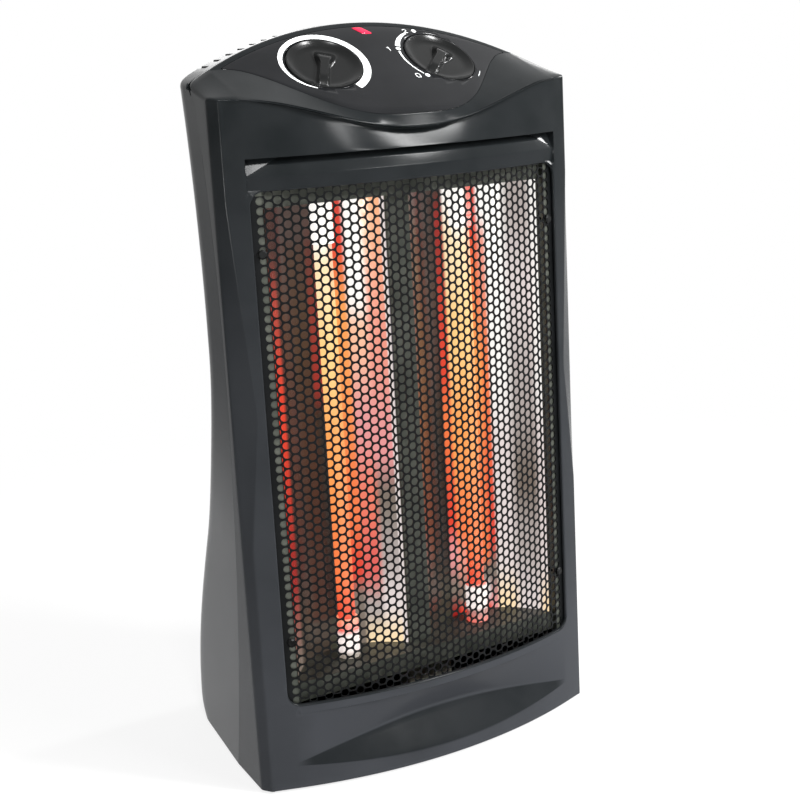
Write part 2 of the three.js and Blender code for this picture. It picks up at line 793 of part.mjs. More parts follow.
// One control: knob, spindle and body share the panel's frame
function knobShape() {
  const skirt = solidOf(turned([
    [0, 0], [knobRadius, 0], [knobRadius, knobRim - knobRimWidth / 2], [knobRadius - knobRimWidth / 4, knobRim],
    [knobRadius - knobRimWidth, knobRim], [knobDishRadius, knobDish], [0, knobDish],
  ], roundSides * 1.6));
  const rings = gripShares.map(([along, rise]) => {
    const top = lerp(knobRim, gripTop, rise);
    return [[-gripFoot / 2, knobDish / 2], [gripFoot / 2, knobDish / 2], [gripWidth / 2, top], [-gripWidth / 2, top]]
      .map(([x, z]) => new THREE.Vector3(x, along * gripHalf, z));
  });
  const bore = cylinder(spindleRadius + fit, 2 * (spindleInKnob + fit), smallSides);
  const grip = solidOf(loft(rings, (p) => new THREE.Vector2(p.x, p.z)));
  return skirt.add(grip).subtract(solidOf(bore));
}

const behindWall = wall + controlGap;
function control(name, out, rest, bodyShape) {
  const frame = new THREE.Group();
  frame.applyMatrix4(panelFrame(out, knobHeight));
  const lift = new THREE.Vector3(0, 0, knobLift);
  const knob = place(`${name}_knob`, knobShape(), glossPlastic, lift, frame);
  knob.rotation.z = rest;
  const spindleFoot = -behindWall - spindleInBody;
  const spindleTop = knobLift + spindleInKnob;
  const shaft = cylinder(spindleRadius, spindleTop - spindleFoot, smallSides);
  const middle = new THREE.Vector3(0, 0, (spindleTop + spindleFoot) / 2);
  place(`${name}_spindle`, shaft, brass, middle, frame);
  place(`${name}_body`, bodyShape, paleResin, null, frame);
  group.add(frame);
}

function controlBody(core) {
  const bush = cylinder(bushRadius, 2 * behindWall, smallSides);
  const bore = cylinder(spindleRadius + fit, 2 * (behindWall + spindleInBody + fit), smallSides);
  const front = solidOf(block(reach, reach, reach).translate(0, 0, reach / 2));
  return solidOf(core).add(solidOf(bush)).subtract(solidOf(bore)).subtract(front);
}
const coreMiddle = -behindWall - controlDepth / 2;
control('thermostat', thermostatOut, thermostatRest, controlBody(cylinder(thermostatSide / 2, controlDepth).translate(0, 0, coreMiddle)));
control('selector', selectorOut, selectorRest, controlBody(block(selectorSide, selectorSide, controlDepth).translate(0, 0, coreMiddle)));

// Pilot light at the top of the panel
const pilotFrame = new THREE.Group();
pilotFrame.applyMatrix4(panelFrame(0, pilotHeight));
const lensDepth = pilotProud + wall;
const lens = block(pilotWidth, pilotTall, lensDepth).translate(0, 0, pilotProud - lensDepth / 2);
place('pilot_lens', lens, redLens, null, pilotFrame);
const lamp = cylinder(lampRadius, lampLength, smallSides).translate(0, 0, -wall - fit - lampLength / 2);
place('pilot_lamp', lamp, paleResin, null, pilotFrame);
group.add(pilotFrame);

// Grille: a perforated sheet that follows the bow
const grilleFront = wall + fit;
const grilleFoot = scoopTop + wall + fit;
function grille() {
  const half = openingHalf + grilleSideLap;
  const skin = (inset) => spread(2 * bowSteps, -half, half).map((x) => [x, bowAt(x, grilleFront + inset)]);
  const outline = [...skin(0), ...skin(sheet).reverse()];
  const column = holePitch * Math.cos(Math.PI / 6);
  const columns = Math.floor((openingHalf - grilleMargin - holeRadius) / column);
  const middle = (sillHeight + openingTop) / 2;
  const limit = (openingTop - sillHeight) / 2 - grilleMargin - holeRadius;
  const holes = [];
  for (let c = -columns; c <= columns; c += 1) {
    const x = bowRadius * Math.sin((c * column) / bowRadius);
    const shift = c % 2 === 0 ? 0 : holePitch / 2;
    for (let z = shift - holePitch * Math.floor((limit + shift) / holePitch); z <= limit; z += holePitch) {
      const [from, to] = [0, 2 * grilleFront].map((depth) => behindBow(x, depth, middle + z));
      holes.push(solidOf(rod(from, to, holeRadius, 6, Math.PI / 6)));
    }
  }
  for (const [x, z] of grilleScrews) {
    holes.push(solidOf(rod(behindBow(x, 0, z), behindBow(x, 2 * grilleFront, z), screwShank + fit)));
  }
  return solidOf(upright(outline, grilleFoot, openingTop + grilleLap)).subtract(wasm.Manifold.union(holes));
}
const grilleScrews = [-1, 1].flatMap((side) => [grilleScrewLow, grilleScrewHigh]
  .map((z) => [side * grilleScrewOut, z]));
place('grille', grille(), blackSteel);
grilleScrews.forEach(([x, z], i) => {
  const lean = Math.asin(x / bowRadius);
  const mesh = place(`grille_screw_${i + 1}`, screw(grilleScrewLength), zinc);
  mesh.position.copy(behindBow(x, grilleFront - fit, z));
  mesh.rotation.set(toBack.x, 0, lean, 'ZYX');
});

// A sheet of even thickness along a line of [x, depth] points, standing between two heights
function standingSheet(line, thickness, from, to) {
  const points = line.map(([x, depth]) => new THREE.Vector2(x, depth));
  const offset = points.map((p, i) => {
    const before = points[Math.max(i - 1, 0)];
    const after = points[Math.min(i + 1, points.length - 1)];
    const near = p.clone().sub(before).normalize();
    const far = after.clone().sub(p).normalize();
    const way = near.add(far).normalize();
    const spanIn = i > 0 ? p.clone().sub(before).normalize() : far;
    const stretch = 1 / Math.max(Math.abs(way.dot(spanIn)), 0.5);
    return new THREE.Vector2(p.x - way.y * thickness * stretch, p.y + way.x * thickness * stretch);
  });
  const outline = [...points, ...offset.reverse()].map((p) => [p.x, p.y]);
  return upright(outline, from, to);
}

// Trough reflectors, mirror images of each other
const sheetLow = bracketLow + bracketThickness + fit;
const sheetHigh = bracketHigh - fit;
function troughLine(side) {
  const outer = new THREE.QuadraticBezierCurve(
    new THREE.Vector2(reflectorOut, reflectorFront),
    new THREE.Vector2((reflectorOut + apexOut) / 2 + flangeHalf, apexDepth),
    new THREE.Vector2(apexOut, apexDepth),
  ).getPoints(troughSteps);
  const inner = new THREE.QuadraticBezierCurve(
    new THREE.Vector2(apexOut, apexDepth),
    new THREE.Vector2((apexOut + flangeHalf) / 2 - fit, apexDepth),
    new THREE.Vector2(flangeHalf + sheet, flangeDepth),
  ).getPoints(troughSteps);
  const flange = new THREE.Vector2(fit, flangeDepth);
  const line = [...outer, ...inner.slice(1), flange].map((p) => [side * p.x, p.y]);
  return side > 0 ? line.reverse() : line;
}
place('reflector_left', standingSheet(troughLine(-1), sheet, sheetLow, sheetHigh), polished);
place('reflector_right', standingSheet(troughLine(1), sheet, sheetLow, sheetHigh), polished);
const strip = upright([
  [-flangeHalf, flangeDepth - fit - stripThickness], [flangeHalf, flangeDepth - fit - stripThickness],
  [flangeHalf, flangeDepth - fit], [-flangeHalf, flangeDepth - fit],
], sheetLow, sheetHigh);
place('centre_strip', strip, zinc);

// Heat shield: flanges that lie on the back of the grille, side walls and a back wall
const shieldFlange = grilleFront + sheet + fit;
function heatShield() {
  const flange = spread(3, openingHalf + grilleSideLap, shieldHalf).map((x) => [x, bowAt(x, shieldFlange)]);
  const right = [...flange, [shieldHalf, shieldDepth]];
  const left = right.map(([x, depth]) => [-x, depth]).reverse();
  let shield = solidOf(standingSheet([...right, ...left], -sheet, grilleFoot, openingTop + grilleLap));
  for (const [x, z] of grilleScrews) {
    shield = shield.subtract(solidOf(rod(behindBow(x, -overrun, z), behindBow(x, reach / 2, z), screwShank + fit)));
  }
  return shield;
}
place('heat_shield', heatShield(), zinc);

// Brackets across the shield, with a lip towards the grille
const bracketHalf = shieldHalf - fit;
const bracketFront = reflectorFront - sheet;
function bracket(level, direction) {
  const plate = [
    [-bracketHalf, bracketFront], [bracketHalf, bracketFront],
    [bracketHalf, shieldDepth - fit], [-bracketHalf, shieldDepth - fit],
  ];
  const lipReach = bracketLow - sillHeight + grilleLap / 2;
  const lip = [
    [-bracketHalf, bracketFront], [bracketHalf, bracketFront],
    [bracketHalf, bracketFront + sheet], [-bracketHalf, bracketFront + sheet],
  ];
  const near = direction < 0 ? level + bracketThickness : level;
  const far = near + direction * bracketThickness;
  const end = near + direction * lipReach;
  let solid = solidOf(upright(plate, Math.min(near, far), Math.max(near, far)))
    .add(solidOf(upright(lip, Math.min(near, end), Math.max(near, end))));
  for (const side of [-1, 1]) {
    const hole = rod(
      at(side * tubeOut, tubeDepth, level - reach),
      at(side * tubeOut, tubeDepth, level + reach),
      capNeckRadius + fit,
      roundSides,
    );
    solid = solid.subtract(solidOf(hole));
  }
  return solid;
}
place('lower_bracket', bracket(bracketLow, -1), zinc);
place('upper_bracket', bracket(bracketHigh, 1), zinc);

// Heating tubes: ceramic caps on the brackets, a quartz tube between them and the coil inside
const capLow = bracketLow + bracketThickness + fit;
const capHigh = bracketHigh - fit;
const tubeLow = capLow + capHeight - capSocket + fit;
const tubeHigh = capHigh - capHeight + capSocket - fit;
const tubeBore = tubeRadius - tubeWall;

function ceramicCap() {
  const floor = capHeight - capSocket;
  const ribs = [0.45, 0.75].flatMap((share) => [
    [capRadius, capHeight * share - capRib], [capRadius - capRib, capHeight * share - capRib],
    [capRadius - capRib, capHeight * share], [capRadius, capHeight * share],
  ]);
  return turned([
    [coilTail + fit, -capNeckHeight], [capNeckRadius, -capNeckHeight], [capNeckRadius, 0], [capRadius, 0],
    ...ribs,
    [capRadius, capHeight], [tubeRadius + fit, capHeight], [tubeRadius + fit, floor], [coilTail + fit, floor],
    [coilTail + fit, -capNeckHeight],
  ], tubeSides);
}

function quartzTube() {
  return turned([
    [tubeBore, tubeLow], [tubeRadius, tubeLow], [tubeRadius, tubeHigh], [tubeBore, tubeHigh],
    [tubeBore, tubeLow],
  ], tubeSides);
}

function heatingCoil() {
  const low = tubeLow + capSocket - tailLength / 2;
  const high = tubeHigh - capSocket + tailLength / 2;
  return turned([
    [0, low - tailLength], [coilTail, low - tailLength], [coilTail, low], [coilRadius, low],
    [coilRadius, high], [coilTail, high], [coilTail, high + tailLength], [0, high + tailLength],
  ], smallSides);
}

for (const [name, side] of [['left', -1], ['right', 1]]) {
  const foot = at(side * tubeOut, tubeDepth, 0);
  place(`quartz_tube_${name}`, quartzTube(), quartz, foot);
  place(`heating_coil_${name}`, heatingCoil(), hotWire, foot);
  place(`cap_lower_${name}`, ceramicCap(), ceramic, at(side * tubeOut, tubeDepth, capLow));
  const upper = place(`cap_upper_${name}`, ceramicCap(), ceramic, at(side * tubeOut, tubeDepth, capHigh));
  upper.rotation.x = Math.PI;
}

// Overheat cut-out on the back of the shield
const cutoff = turned([
  [0, 0], [cutoffRadius, 0], [cutoffRadius, cutoffHeight * 0.6], [cutoffRadius * 0.6, cutoffHeight],
  [0, cutoffHeight],
], smallSides);
const cutoffMesh = place('thermal_cutoff', cutoff, darkResin, at(0, shieldDepth + sheet + fit, cutoffLevel));
cutoffMesh.rotation.copy(toBack);

// Tip-over switch on the base plate, with the plunger that the floor holds in
const plateTop = caseFoot + plateThickness + fit;
const plungerTop = plungerClear + plungerLength;
const switchCore = solidOf(block(switchWidth, switchDepthSize, switchHeight).translate(0, 0, switchHeight / 2));
const plungerWell = cylinder(plungerRadius + fit, 2 * (plungerTop - plateTop + fit), roundSides);
place('tip_switch', switchCore.subtract(solidOf(plungerWell)), darkResin, at(0, tipDepth, plateTop));
place('tip_plunger', turned([
  [0, 0], [plungerRadius * 0.6, 0], [plungerRadius, plungerRadius * 0.4], [plungerRadius, plungerLength],
  [0, plungerLength],
]), paleResin, at(0, tipDepth, plungerClear));

// Terminal block on the base plate
const terminal = block(terminalWidth, terminalDepthSize, terminalHeight).translate(0, 0, terminalHeight / 2);
place('terminal_block', terminal, paleResin, at(terminalOut, terminalDepth, plateTop));

// Cord gland in the back wall
const gland = turned([
  [glandBore, -glandLength], [glandNeck, -glandLength], [glandNeck, 0], [glandRadius, 0],
  [glandRadius, glandFlange / 2], [glandRadius * 0.8, glandFlange], [glandBore, glandFlange],
  [glandBore, -glandLength],
]);
const glandMesh = place('cord_gland', gland, rubber, at(glandOut, caseDepth - glandSeat + fit, glandHeight));
glandMesh.rotation.copy(toBack);

export default group;
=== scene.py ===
"""Looks of the quartz heater: finer housings, the perforated sheet, the glow, the panel and the materials.

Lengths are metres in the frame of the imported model: +Z up, the front faces -Y. A depth is measured back from
the foremost point of the bowed front.
"""
import json
import math

import bmesh
import bpy
from mathutils import Matrix, Vector


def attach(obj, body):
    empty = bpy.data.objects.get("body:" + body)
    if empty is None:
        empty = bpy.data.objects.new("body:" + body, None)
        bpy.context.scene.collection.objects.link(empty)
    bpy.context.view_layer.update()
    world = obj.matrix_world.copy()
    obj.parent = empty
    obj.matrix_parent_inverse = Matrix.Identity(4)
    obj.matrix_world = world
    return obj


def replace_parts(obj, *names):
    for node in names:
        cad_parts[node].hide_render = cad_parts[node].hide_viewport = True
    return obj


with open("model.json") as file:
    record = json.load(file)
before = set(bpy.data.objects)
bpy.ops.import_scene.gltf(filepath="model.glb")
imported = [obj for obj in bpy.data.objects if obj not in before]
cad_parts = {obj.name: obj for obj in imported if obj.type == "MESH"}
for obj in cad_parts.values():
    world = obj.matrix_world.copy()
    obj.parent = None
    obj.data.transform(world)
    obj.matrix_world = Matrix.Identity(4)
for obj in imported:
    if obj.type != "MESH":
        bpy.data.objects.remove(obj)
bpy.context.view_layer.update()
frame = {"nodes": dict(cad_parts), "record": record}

# Case
CASE_WIDTH = 0.309
CASE_DEPTH = 0.211
CASE_HEIGHT = 0.580
HALF_WIDTH = CASE_WIDTH / 2
BOW_RADIUS = 1.275 * CASE_WIDTH
ARCH_RADIUS = 1.02 * CASE_WIDTH
WALL = 0.0028
FIT = 0.0003
CASE_FOOT = 0.002

# Case, side view
WAIST_HEIGHT = 0.6052 * CASE_HEIGHT
FLARE_FOOT = 0.020
HEEL_ROUND = 0.015
HEAD_HEIGHT = CASE_HEIGHT - 0.035
SEAM_AT_FLOOR = 0.0895
SEAM_AT_WAIST = 0.043
SEAM_AT_HEAD = 0.0645
CORNER_DEPTH = 0.12 * CASE_WIDTH
BACK_AT_WAIST = CORNER_DEPTH + 0.0475
BACK_AT_HEAD = BACK_AT_WAIST + 0.021

# Case, plan view
CORNER_BREAK = 0.005
FRONT_SIDE_TAPER = 0.07
REAR_TAPER_FOOT = 0.139
REAR_TAPER_RUN = 0.17
REAR_TAPER_HEAD = 0.065
REAR_CORNER = 0.020
FACET_WIDTH = 0.0155
FACET_TOP = CASE_HEIGHT - 0.050
FACET_MIDDLE = 0.517 * CASE_HEIGHT
FACET_FOOT = 0.26 * CASE_HEIGHT
SHOULDER_BREAK = 0.009

# Head
SLOPE_START = CASE_HEIGHT - 0.070
SLOPE_TILT = math.radians(53)
PANEL_LOWEST = SLOPE_START + 0.002
PANEL_TIP_OUT = HALF_WIDTH - 0.0305
PANEL_TIP_DROP = 0.0041
PANEL_SAG_POWER = 1.9
BROW_MIDDLE = SLOPE_START - 0.0082
BROW_END = SLOPE_START + 0.0208
BROW_RECESS = 0.007
ROOF_STRIP = 0.0051

# Opening, ledge and scoop
OPENING_HALF = HALF_WIDTH - 0.0205
OPENING_INSIDE = OPENING_HALF - 0.0008
OPENING_OUTSIDE = OPENING_HALF + 0.0004
SILL_HEIGHT = 0.070
OPENING_TOP = SLOPE_START - 0.044
OPENING_CORNER = 0.012
LEDGE_TOP = OPENING_TOP + 0.022
LEDGE_BACK = OPENING_TOP + 0.017
LEDGE_NOSE = OPENING_TOP + 0.009
LEDGE_END_TOP = OPENING_TOP + 0.010
LEDGE_END_OUT = OPENING_HALF - 0.024
LEDGE_BACK_DEPTH = 0.004
LEDGE_NOSE_DEPTH = 0.0012
LEDGE_FOOT_DEPTH = 0.0024
GROOVE_LEAN = 1.0
GUSSET_LEAN = 0.49
SCOOP_HALF = HALF_WIDTH - 0.0265
SCOOP_TOP = 0.064
SCOOP_CREASE = 0.041
SCOOP_CREASE_END = 0.024
SCOOP_DEPTH = 0.015
SCOOP_EDGE = 0.0015
LIP_MIDDLE = 0.013
LIP_END = 0.021

# Vents
ROOF_VENT_FIRST = HALF_WIDTH - 0.0865
ROOF_VENT_COUNT = 7
VENT_PITCH = 0.010
VENT_WIDTH = 0.0035
ROOF_VENT_FOOT = SLOPE_START + 0.002
ROOF_VENT_TOP = CASE_HEIGHT + 0.01
ROOF_VENT_DEPTH = 0.015
BACK_VENT_HALF = HALF_WIDTH - 0.0745
BACK_VENT_COUNT = 6
BACK_VENT_PITCH = 0.012
BACK_VENT_HEIGHT = 0.004
BACK_VENT_CORNER = BACK_VENT_HEIGHT * 0.48
BACK_VENT_STARTS = (CASE_HEIGHT - 0.162, 0.224 * CASE_HEIGHT)
ROOF_VENT_REACH = 0.05
BACK_VENT_REACH = 0.12

# Screws and gland that pass the housing
SCREW_PLACES = [(0.128, 0.505), (0.118, 0.048)]
SCREW_BORE = 0.0048
GLAND_PLACE = (-0.058, 0.034)
GLAND_BORE = 0.0098
GLAND_WALL = 0.02

# Edges and meshes
EDGE_ROUND = 0.0015
SHARP_ANGLE = math.radians(35)
ARC_STEPS = 4
COLUMN_STEP = 0.0026
WELD = 0.00001
SHELL = 0.0014


def square(t):
    return t * t


def lerp(a, b, t):
    return a + (b - a) * t


def clamp(t, low=0.0, high=1.0):
    return min(max(t, low), high)


def ease(t):
    return t * t * (3 - 2 * t)


def share(value, start, end):
    """How far a value lies from start to end, from 0 to 1."""
    return clamp((value - start) / (end - start))


def spread(count, low, high):
    return [lerp(low, high, i / count) for i in range(count + 1)]


def at(x, depth, z):
    """A point from its place across, its depth behind the front and its height."""
    return Vector((x, depth - CASE_DEPTH / 2, z))


def curve(start, control, end, t):
    """The place t of the way along a curve that leaves start and reaches end in line with its control."""
    return start * square(1 - t) + control * (2 * t * (1 - t)) + end * square(t)


def around(radius, turn):
    return radius * math.cos(turn), radius * math.sin(turn)


def ring(radius, sides):
    """Even points (u, v) of a circle."""
    return [around(radius, math.tau * k / sides) for k in range(sides)]


def heading(before, after):
    return Vector((after[0] - before[0], after[1] - before[1])).normalized()


# Surfaces of the case
def bow_at(x):
    return BOW_RADIUS - math.sqrt(square(BOW_RADIUS) - x * x)


def arch_at(x):
    return CASE_HEIGHT - ARCH_RADIUS + math.sqrt(square(ARCH_RADIUS) - x * x)


def roof_at(x):
    """Height of the arched roof, with its rounded shoulders."""
    out = min(abs(x), HALF_WIDTH)
    start = HALF_WIDTH - SHOULDER_BREAK
    if out <= start:
        return arch_at(out)
    t = 1 - math.sqrt((HALF_WIDTH - out) / SHOULDER_BREAK)
    corner = arch_at(HALF_WIDTH)
    return curve(arch_at(start), corner, corner - SHOULDER_BREAK, t)


def slope_at(x, z):
    return bow_at(x) + (z - SLOPE_START) * math.tan(SLOPE_TILT)


def panel_edge_at(x):
    tip = roof_at(PANEL_TIP_OUT) - PANEL_TIP_DROP
    return lerp(PANEL_LOWEST, tip, ease(clamp(abs(x / PANEL_TIP_OUT))) ** PANEL_SAG_POWER)


def brow_at(x):
    return lerp(BROW_MIDDLE, BROW_END, (1 - math.cos(math.pi * clamp(x / HALF_WIDTH, -1, 1))) / 2)


def seam_at(z):
    if z < WAIST_HEIGHT:
        return lerp(SEAM_AT_WAIST, SEAM_AT_FLOOR, square(share(z, WAIST_HEIGHT, 0)))
    return lerp(SEAM_AT_WAIST, SEAM_AT_HEAD, square(share(z, WAIST_HEIGHT, HEAD_HEIGHT)))


def back_at(z):
    if z < WAIST_HEIGHT:
        flare = ease(share(z, WAIST_HEIGHT, FLARE_FOOT))
        return lerp(BACK_AT_WAIST, CASE_DEPTH, flare) - HEEL_ROUND * square(share(z, FLARE_FOOT, 0))
    return lerp(BACK_AT_WAIST, BACK_AT_HEAD, square(share(z, WAIST_HEIGHT, HEAD_HEIGHT)))


def facet_at(z):
    return FACET_WIDTH * share(z, FACET_TOP if z > FACET_MIDDLE else FACET_FOOT, FACET_MIDDLE)


def rear_taper_at(z):
    if z < WAIST_HEIGHT:
        return REAR_TAPER_FOOT * ease(share(z, WAIST_HEIGHT, WAIST_HEIGHT - REAR_TAPER_RUN))
    return REAR_TAPER_HEAD * share(z, WAIST_HEIGHT, HEAD_HEIGHT)


def side_at(depth, z):
    seam = seam_at(z)
    behind = rear_taper_at(z) * max(depth - seam, 0)
    return HALF_WIDTH - FRONT_SIDE_TAPER * (min(depth, seam) - CORNER_DEPTH) - behind


def ridge_at(z):
    return HALF_WIDTH - max(CORNER_BREAK, facet_at(z))


# Paths and meshes
def rounded_path(corners, runs):
    """Points along a broken line, from (point, radius) corners and the number of steps on each straight."""
    most = 0.45
    points = [Vector(p) for p, _ in corners]
    path = [points[0]]

    def straight(end, count):
        start = path[-1]
        path.extend([start.lerp(end, k / count) for k in range(1, count + 1)])

    for i in range(1, len(points) - 1):
        back = points[i - 1] - points[i]
        ahead = points[i + 1] - points[i]
        setback = min(corners[i][1], back.length * most, ahead.length * most)
        arc_start = points[i] + back.normalized() * setback
        arc_end = points[i] + ahead.normalized() * setback
        straight(arc_start, runs[i - 1])
        path += [curve(arc_start, points[i], arc_end, t) for t in spread(ARC_STEPS, 0, 1)[1:]]
    straight(points[-1], runs[-1])
    return path


def link_object(name, data):
    obj = bpy.data.objects.new(name, data)
    bpy.context.scene.collection.objects.link(obj)
    return obj


def mesh_object(name, vertices, faces, closed=True):
    """A mesh object with its doubles welded and its sharp edges marked. A closed one faces outward."""
    mesh = bpy.data.meshes.new(name)
    mesh.from_pydata([tuple(v) for v in vertices], [], faces)
    edit = bmesh.new()
    edit.from_mesh(mesh)
    bmesh.ops.remove_doubles(edit, verts=edit.verts, dist=WELD)
    bmesh.ops.dissolve_degenerate(edit, edges=edit.edges, dist=WELD)
    if closed:
        bmesh.ops.recalc_face_normals(edit, faces=edit.faces)
    edit.to_mesh(mesh)
    edit.free()
    obj = link_object(name, mesh)
    smooth(obj)
    return obj


def smooth(obj):
    """Smooth shading, with sharp edges kept."""
    edit = bmesh.new()
    edit.from_mesh(obj.data)
    for face in edit.faces:
        face.smooth = True
    for edge in edit.edges:
        edge.smooth = len(edge.link_faces) == 2 and edge.calc_face_angle(0.0) < SHARP_ANGLE
    edit.to_mesh(obj.data)
    edit.free()


def grid_faces(columns, rows, offset=0, looped=False):
    """Quads of a grid whose points are listed column by column."""
    faces = []
    for i in range(columns if looped else columns - 1):
        for j in range(rows - 1):
            a = offset + i * rows + j
            b = offset + ((i + 1) % columns) * rows + j
            faces.append((a, b, b + 1, a + 1))
    return faces


def open_grids(name, *grids):
    """One open mesh of grids, each a list of columns of points."""
    vertices, faces = [], []
    for columns in grids:
        faces += grid_faces(len(columns), len(columns[0]), len(vertices))
        for column in columns:
            vertices += column
    return mesh_object(name, vertices, faces, closed=False)


def mirrored(columns):
    """The columns on the other side, in the order that keeps their faces outward."""
    return [[Vector((-p.x, p.y, p.z)) for p in column] for column in reversed(columns)]


def loft(name, sections, looped=False):
    """A closed solid through closed sections of equal length, which either loop or have their ends capped."""
    count, n = len(sections), len(sections[0])
    faces = []
    for i in range(count if looped else count - 1):
        for j in range(n):
            a, b = i * n, (i + 1) % count * n
            following = (j + 1) % n
            faces.append((a + j, b + j, b + following, a + following))
    if not looped:
        faces += [tuple(range(n)), tuple(reversed(range((count - 1) * n, count * n)))]
    return mesh_object(name, [p for section in sections for p in section], faces)


def apply_modifiers(obj):
    """Writes the result of the object's modifiers into its mesh."""
    bpy.context.view_layer.update()
    graph = bpy.context.evaluated_depsgraph_get()
    mesh = bpy.data.meshes.new_from_object(obj.evaluated_get(graph))
    old = obj.data
    obj.modifiers.clear()
    obj.data = mesh
    bpy.data.meshes.remove(old)


def thicken(obj, thickness):
    """Gives an open mesh a wall, behind its faces."""
    modifier = obj.modifiers.new("wall", "SOLIDIFY")
    modifier.thickness = thickness
    modifier.offset = -1
    apply_modifiers(obj)


def cut(obj, cutter, solver="FAST"):
    """Takes the cutter's volume out of the object, and removes the cutter."""
    modifier = obj.modifiers.new("cut", "BOOLEAN")
    modifier.operation = "DIFFERENCE"
    modifier.solver = solver
    modifier.object = cutter
    apply_modifiers(obj)
    bpy.data.objects.remove(cutter)


def prisms(name, outlines, near, far):
    """Closed prisms: each outline is a list of points, swept between two distances behind it."""
    vertices, faces = [], []
    for outline in outlines:
        base = len(vertices)
        n = len(outline)
        vertices += [p + Vector((0, behind, 0)) for behind in (near, far) for p in outline]
        faces.append(tuple(base + i for i in range(n)))
        faces.append(tuple(base + n + i for i in reversed(range(n))))
        faces += [(base + i, base + n + i, base + n + (i + 1) % n, base + (i + 1) % n) for i in range(n)]
    return mesh_object(name, vertices, faces)


def rounded_rectangle(half, low, high, corner, steps):
    """Outline in x and height with rounded corners."""
    side, top, foot = half - corner, high - corner, low + corner
    outline = []
    for x, z, start in ((side, top, 0), (-side, top, 90), (-side, foot, 180), (side, foot, 270)):
        for k in range(steps + 1):
            u, v = around(corner, math.radians(start + 90 * k / steps))
            outline.append((x + u, z + v))
    return outline


# Front housing: each column of its grid runs from the foot to the roof's seam
FACE_HALF = 0.1365
SECTION_RUNS = [1, 3, 8, 12, 1, 24, 26, 2, 6, 2, 2, 1, 2, 2, 8, 2, 8, 22, 3]
BROW_CORNER = 16
CORNER_STEPS = 6
RIDGE_ROUND = 0.003
CREASE_ROUND = 0.003
BROW_ROUND = 0.002
BROW_DROP = 0.002
RECESS_FADE = 0.003
FINE_ROUND = 0.0006
HAIR = 0.0001


def roof_seam_at(x):
    return max(SEAM_AT_HEAD, slope_at(x, roof_at(x)) + ROOF_STRIP)


def seam_line_at(z):
    """Depth of the seam on the case's side, which leans back with the head at its top."""
    return max(seam_at(z), slope_at(HALF_WIDTH, z) + ROOF_STRIP)


def arched(x, half):
    """1 in the middle, falling as a cosine to 0 at half a width."""
    return math.cos(math.pi * clamp(x / (2 * half), -0.5, 0.5))


def ledge_line(z):
    return lerp(LEDGE_NOSE_DEPTH, LEDGE_BACK_DEPTH, (z - LEDGE_NOSE) / (LEDGE_BACK - LEDGE_NOSE))


def ledge_depth(z):
    """Depth of the ledge's upper face behind the bow."""
    return ledge_line(clamp(z, LEDGE_NOSE, LEDGE_BACK))


def front_section(x):
    """Depth and height, with a rounding radius, of the front's corners at one x."""
    bow, roof, brow = bow_at(x), roof_at(x), brow_at(x)
    scoop = arched(x, SCOOP_HALF)
    inside = share(abs(x), OPENING_OUTSIDE, OPENING_INSIDE)
    gusset = share(abs(x), LEDGE_END_OUT, OPENING_HALF)
    gusset_foot = lerp(LEDGE_TOP - 2 * HAIR, LEDGE_END_TOP, gusset)
    ledge_back = min(LEDGE_BACK, gusset_foot - 2 * HAIR)
    groove = ledge_depth(ledge_back) + GROOVE_LEAN * (gusset_foot - HAIR - ledge_back)
    gusset_start = ledge_line(gusset_foot) if gusset > 0 else groove + HAIR
    gusset_top = gusset_start + GUSSET_LEAN * (LEDGE_TOP - gusset_foot)
    recess = BROW_RECESS * arched(x, HALF_WIDTH - CORNER_BREAK)
    brow_drop = BROW_DROP * (1 - clamp(recess / RECESS_FADE))
    edge = min(panel_edge_at(x), roof)
    return [
        ((bow + WALL, CASE_FOOT), 0),
        ((bow, CASE_FOOT), EDGE_ROUND),
        ((bow, lerp(LIP_END, LIP_MIDDLE, scoop)), EDGE_ROUND * scoop),
        ((bow + SCOOP_DEPTH * scoop, lerp(SCOOP_CREASE_END, SCOOP_CREASE, scoop)), CREASE_ROUND * scoop),
        ((bow + SCOOP_EDGE * scoop, SCOOP_TOP), 0.0005),
        ((bow, SCOOP_TOP), 0.0005),
        ((bow, (SILL_HEIGHT + OPENING_TOP) / 2), 0),
        ((bow, OPENING_TOP - 0.004), 0),
        ((bow + LEDGE_FOOT_DEPTH * inside, OPENING_TOP), 0.0004),
        ((bow + LEDGE_NOSE_DEPTH * inside, LEDGE_NOSE), 0.0008),
        ((bow + ledge_depth(ledge_back) * inside, ledge_back), FINE_ROUND),
        ((bow + groove * inside, gusset_foot - HAIR), 0),
        ((bow + gusset_start * inside, gusset_foot), 0),
        ((bow + gusset_top * inside, LEDGE_TOP), 0),
        ((bow, LEDGE_TOP + 2 * HAIR), FINE_ROUND),
        ((bow + recess, brow - brow_drop), BROW_ROUND),
        ((bow, brow), EDGE_ROUND),
        ((slope_at(x, edge), edge), FINE_ROUND),
        ((slope_at(x, roof), roof), EDGE_ROUND),
        ((roof_seam_at(x), roof), 0),
    ]


def section_path(x):
    return rounded_path(front_section(x), SECTION_RUNS)


def head_height(x, depth):
    """Height of the head's top surface: the brow band, the slope and the roof."""
    bow = bow_at(x)
    edge = min(panel_edge_at(x), roof_at(x))
    edge_depth = slope_at(x, edge)
    if depth < edge_depth:
        return min(lerp(brow_at(x), edge, share(depth, bow, edge_depth)), roof_at(x))
    return min(SLOPE_START + (depth - bow) / math.tan(SLOPE_TILT), roof_at(x))


def rolled(inward):
    """How far a rounded edge drops at a distance inward from it."""
    return EDGE_ROUND - math.sqrt(max(square(EDGE_ROUND) - square(max(EDGE_ROUND - inward, 0)), 0))


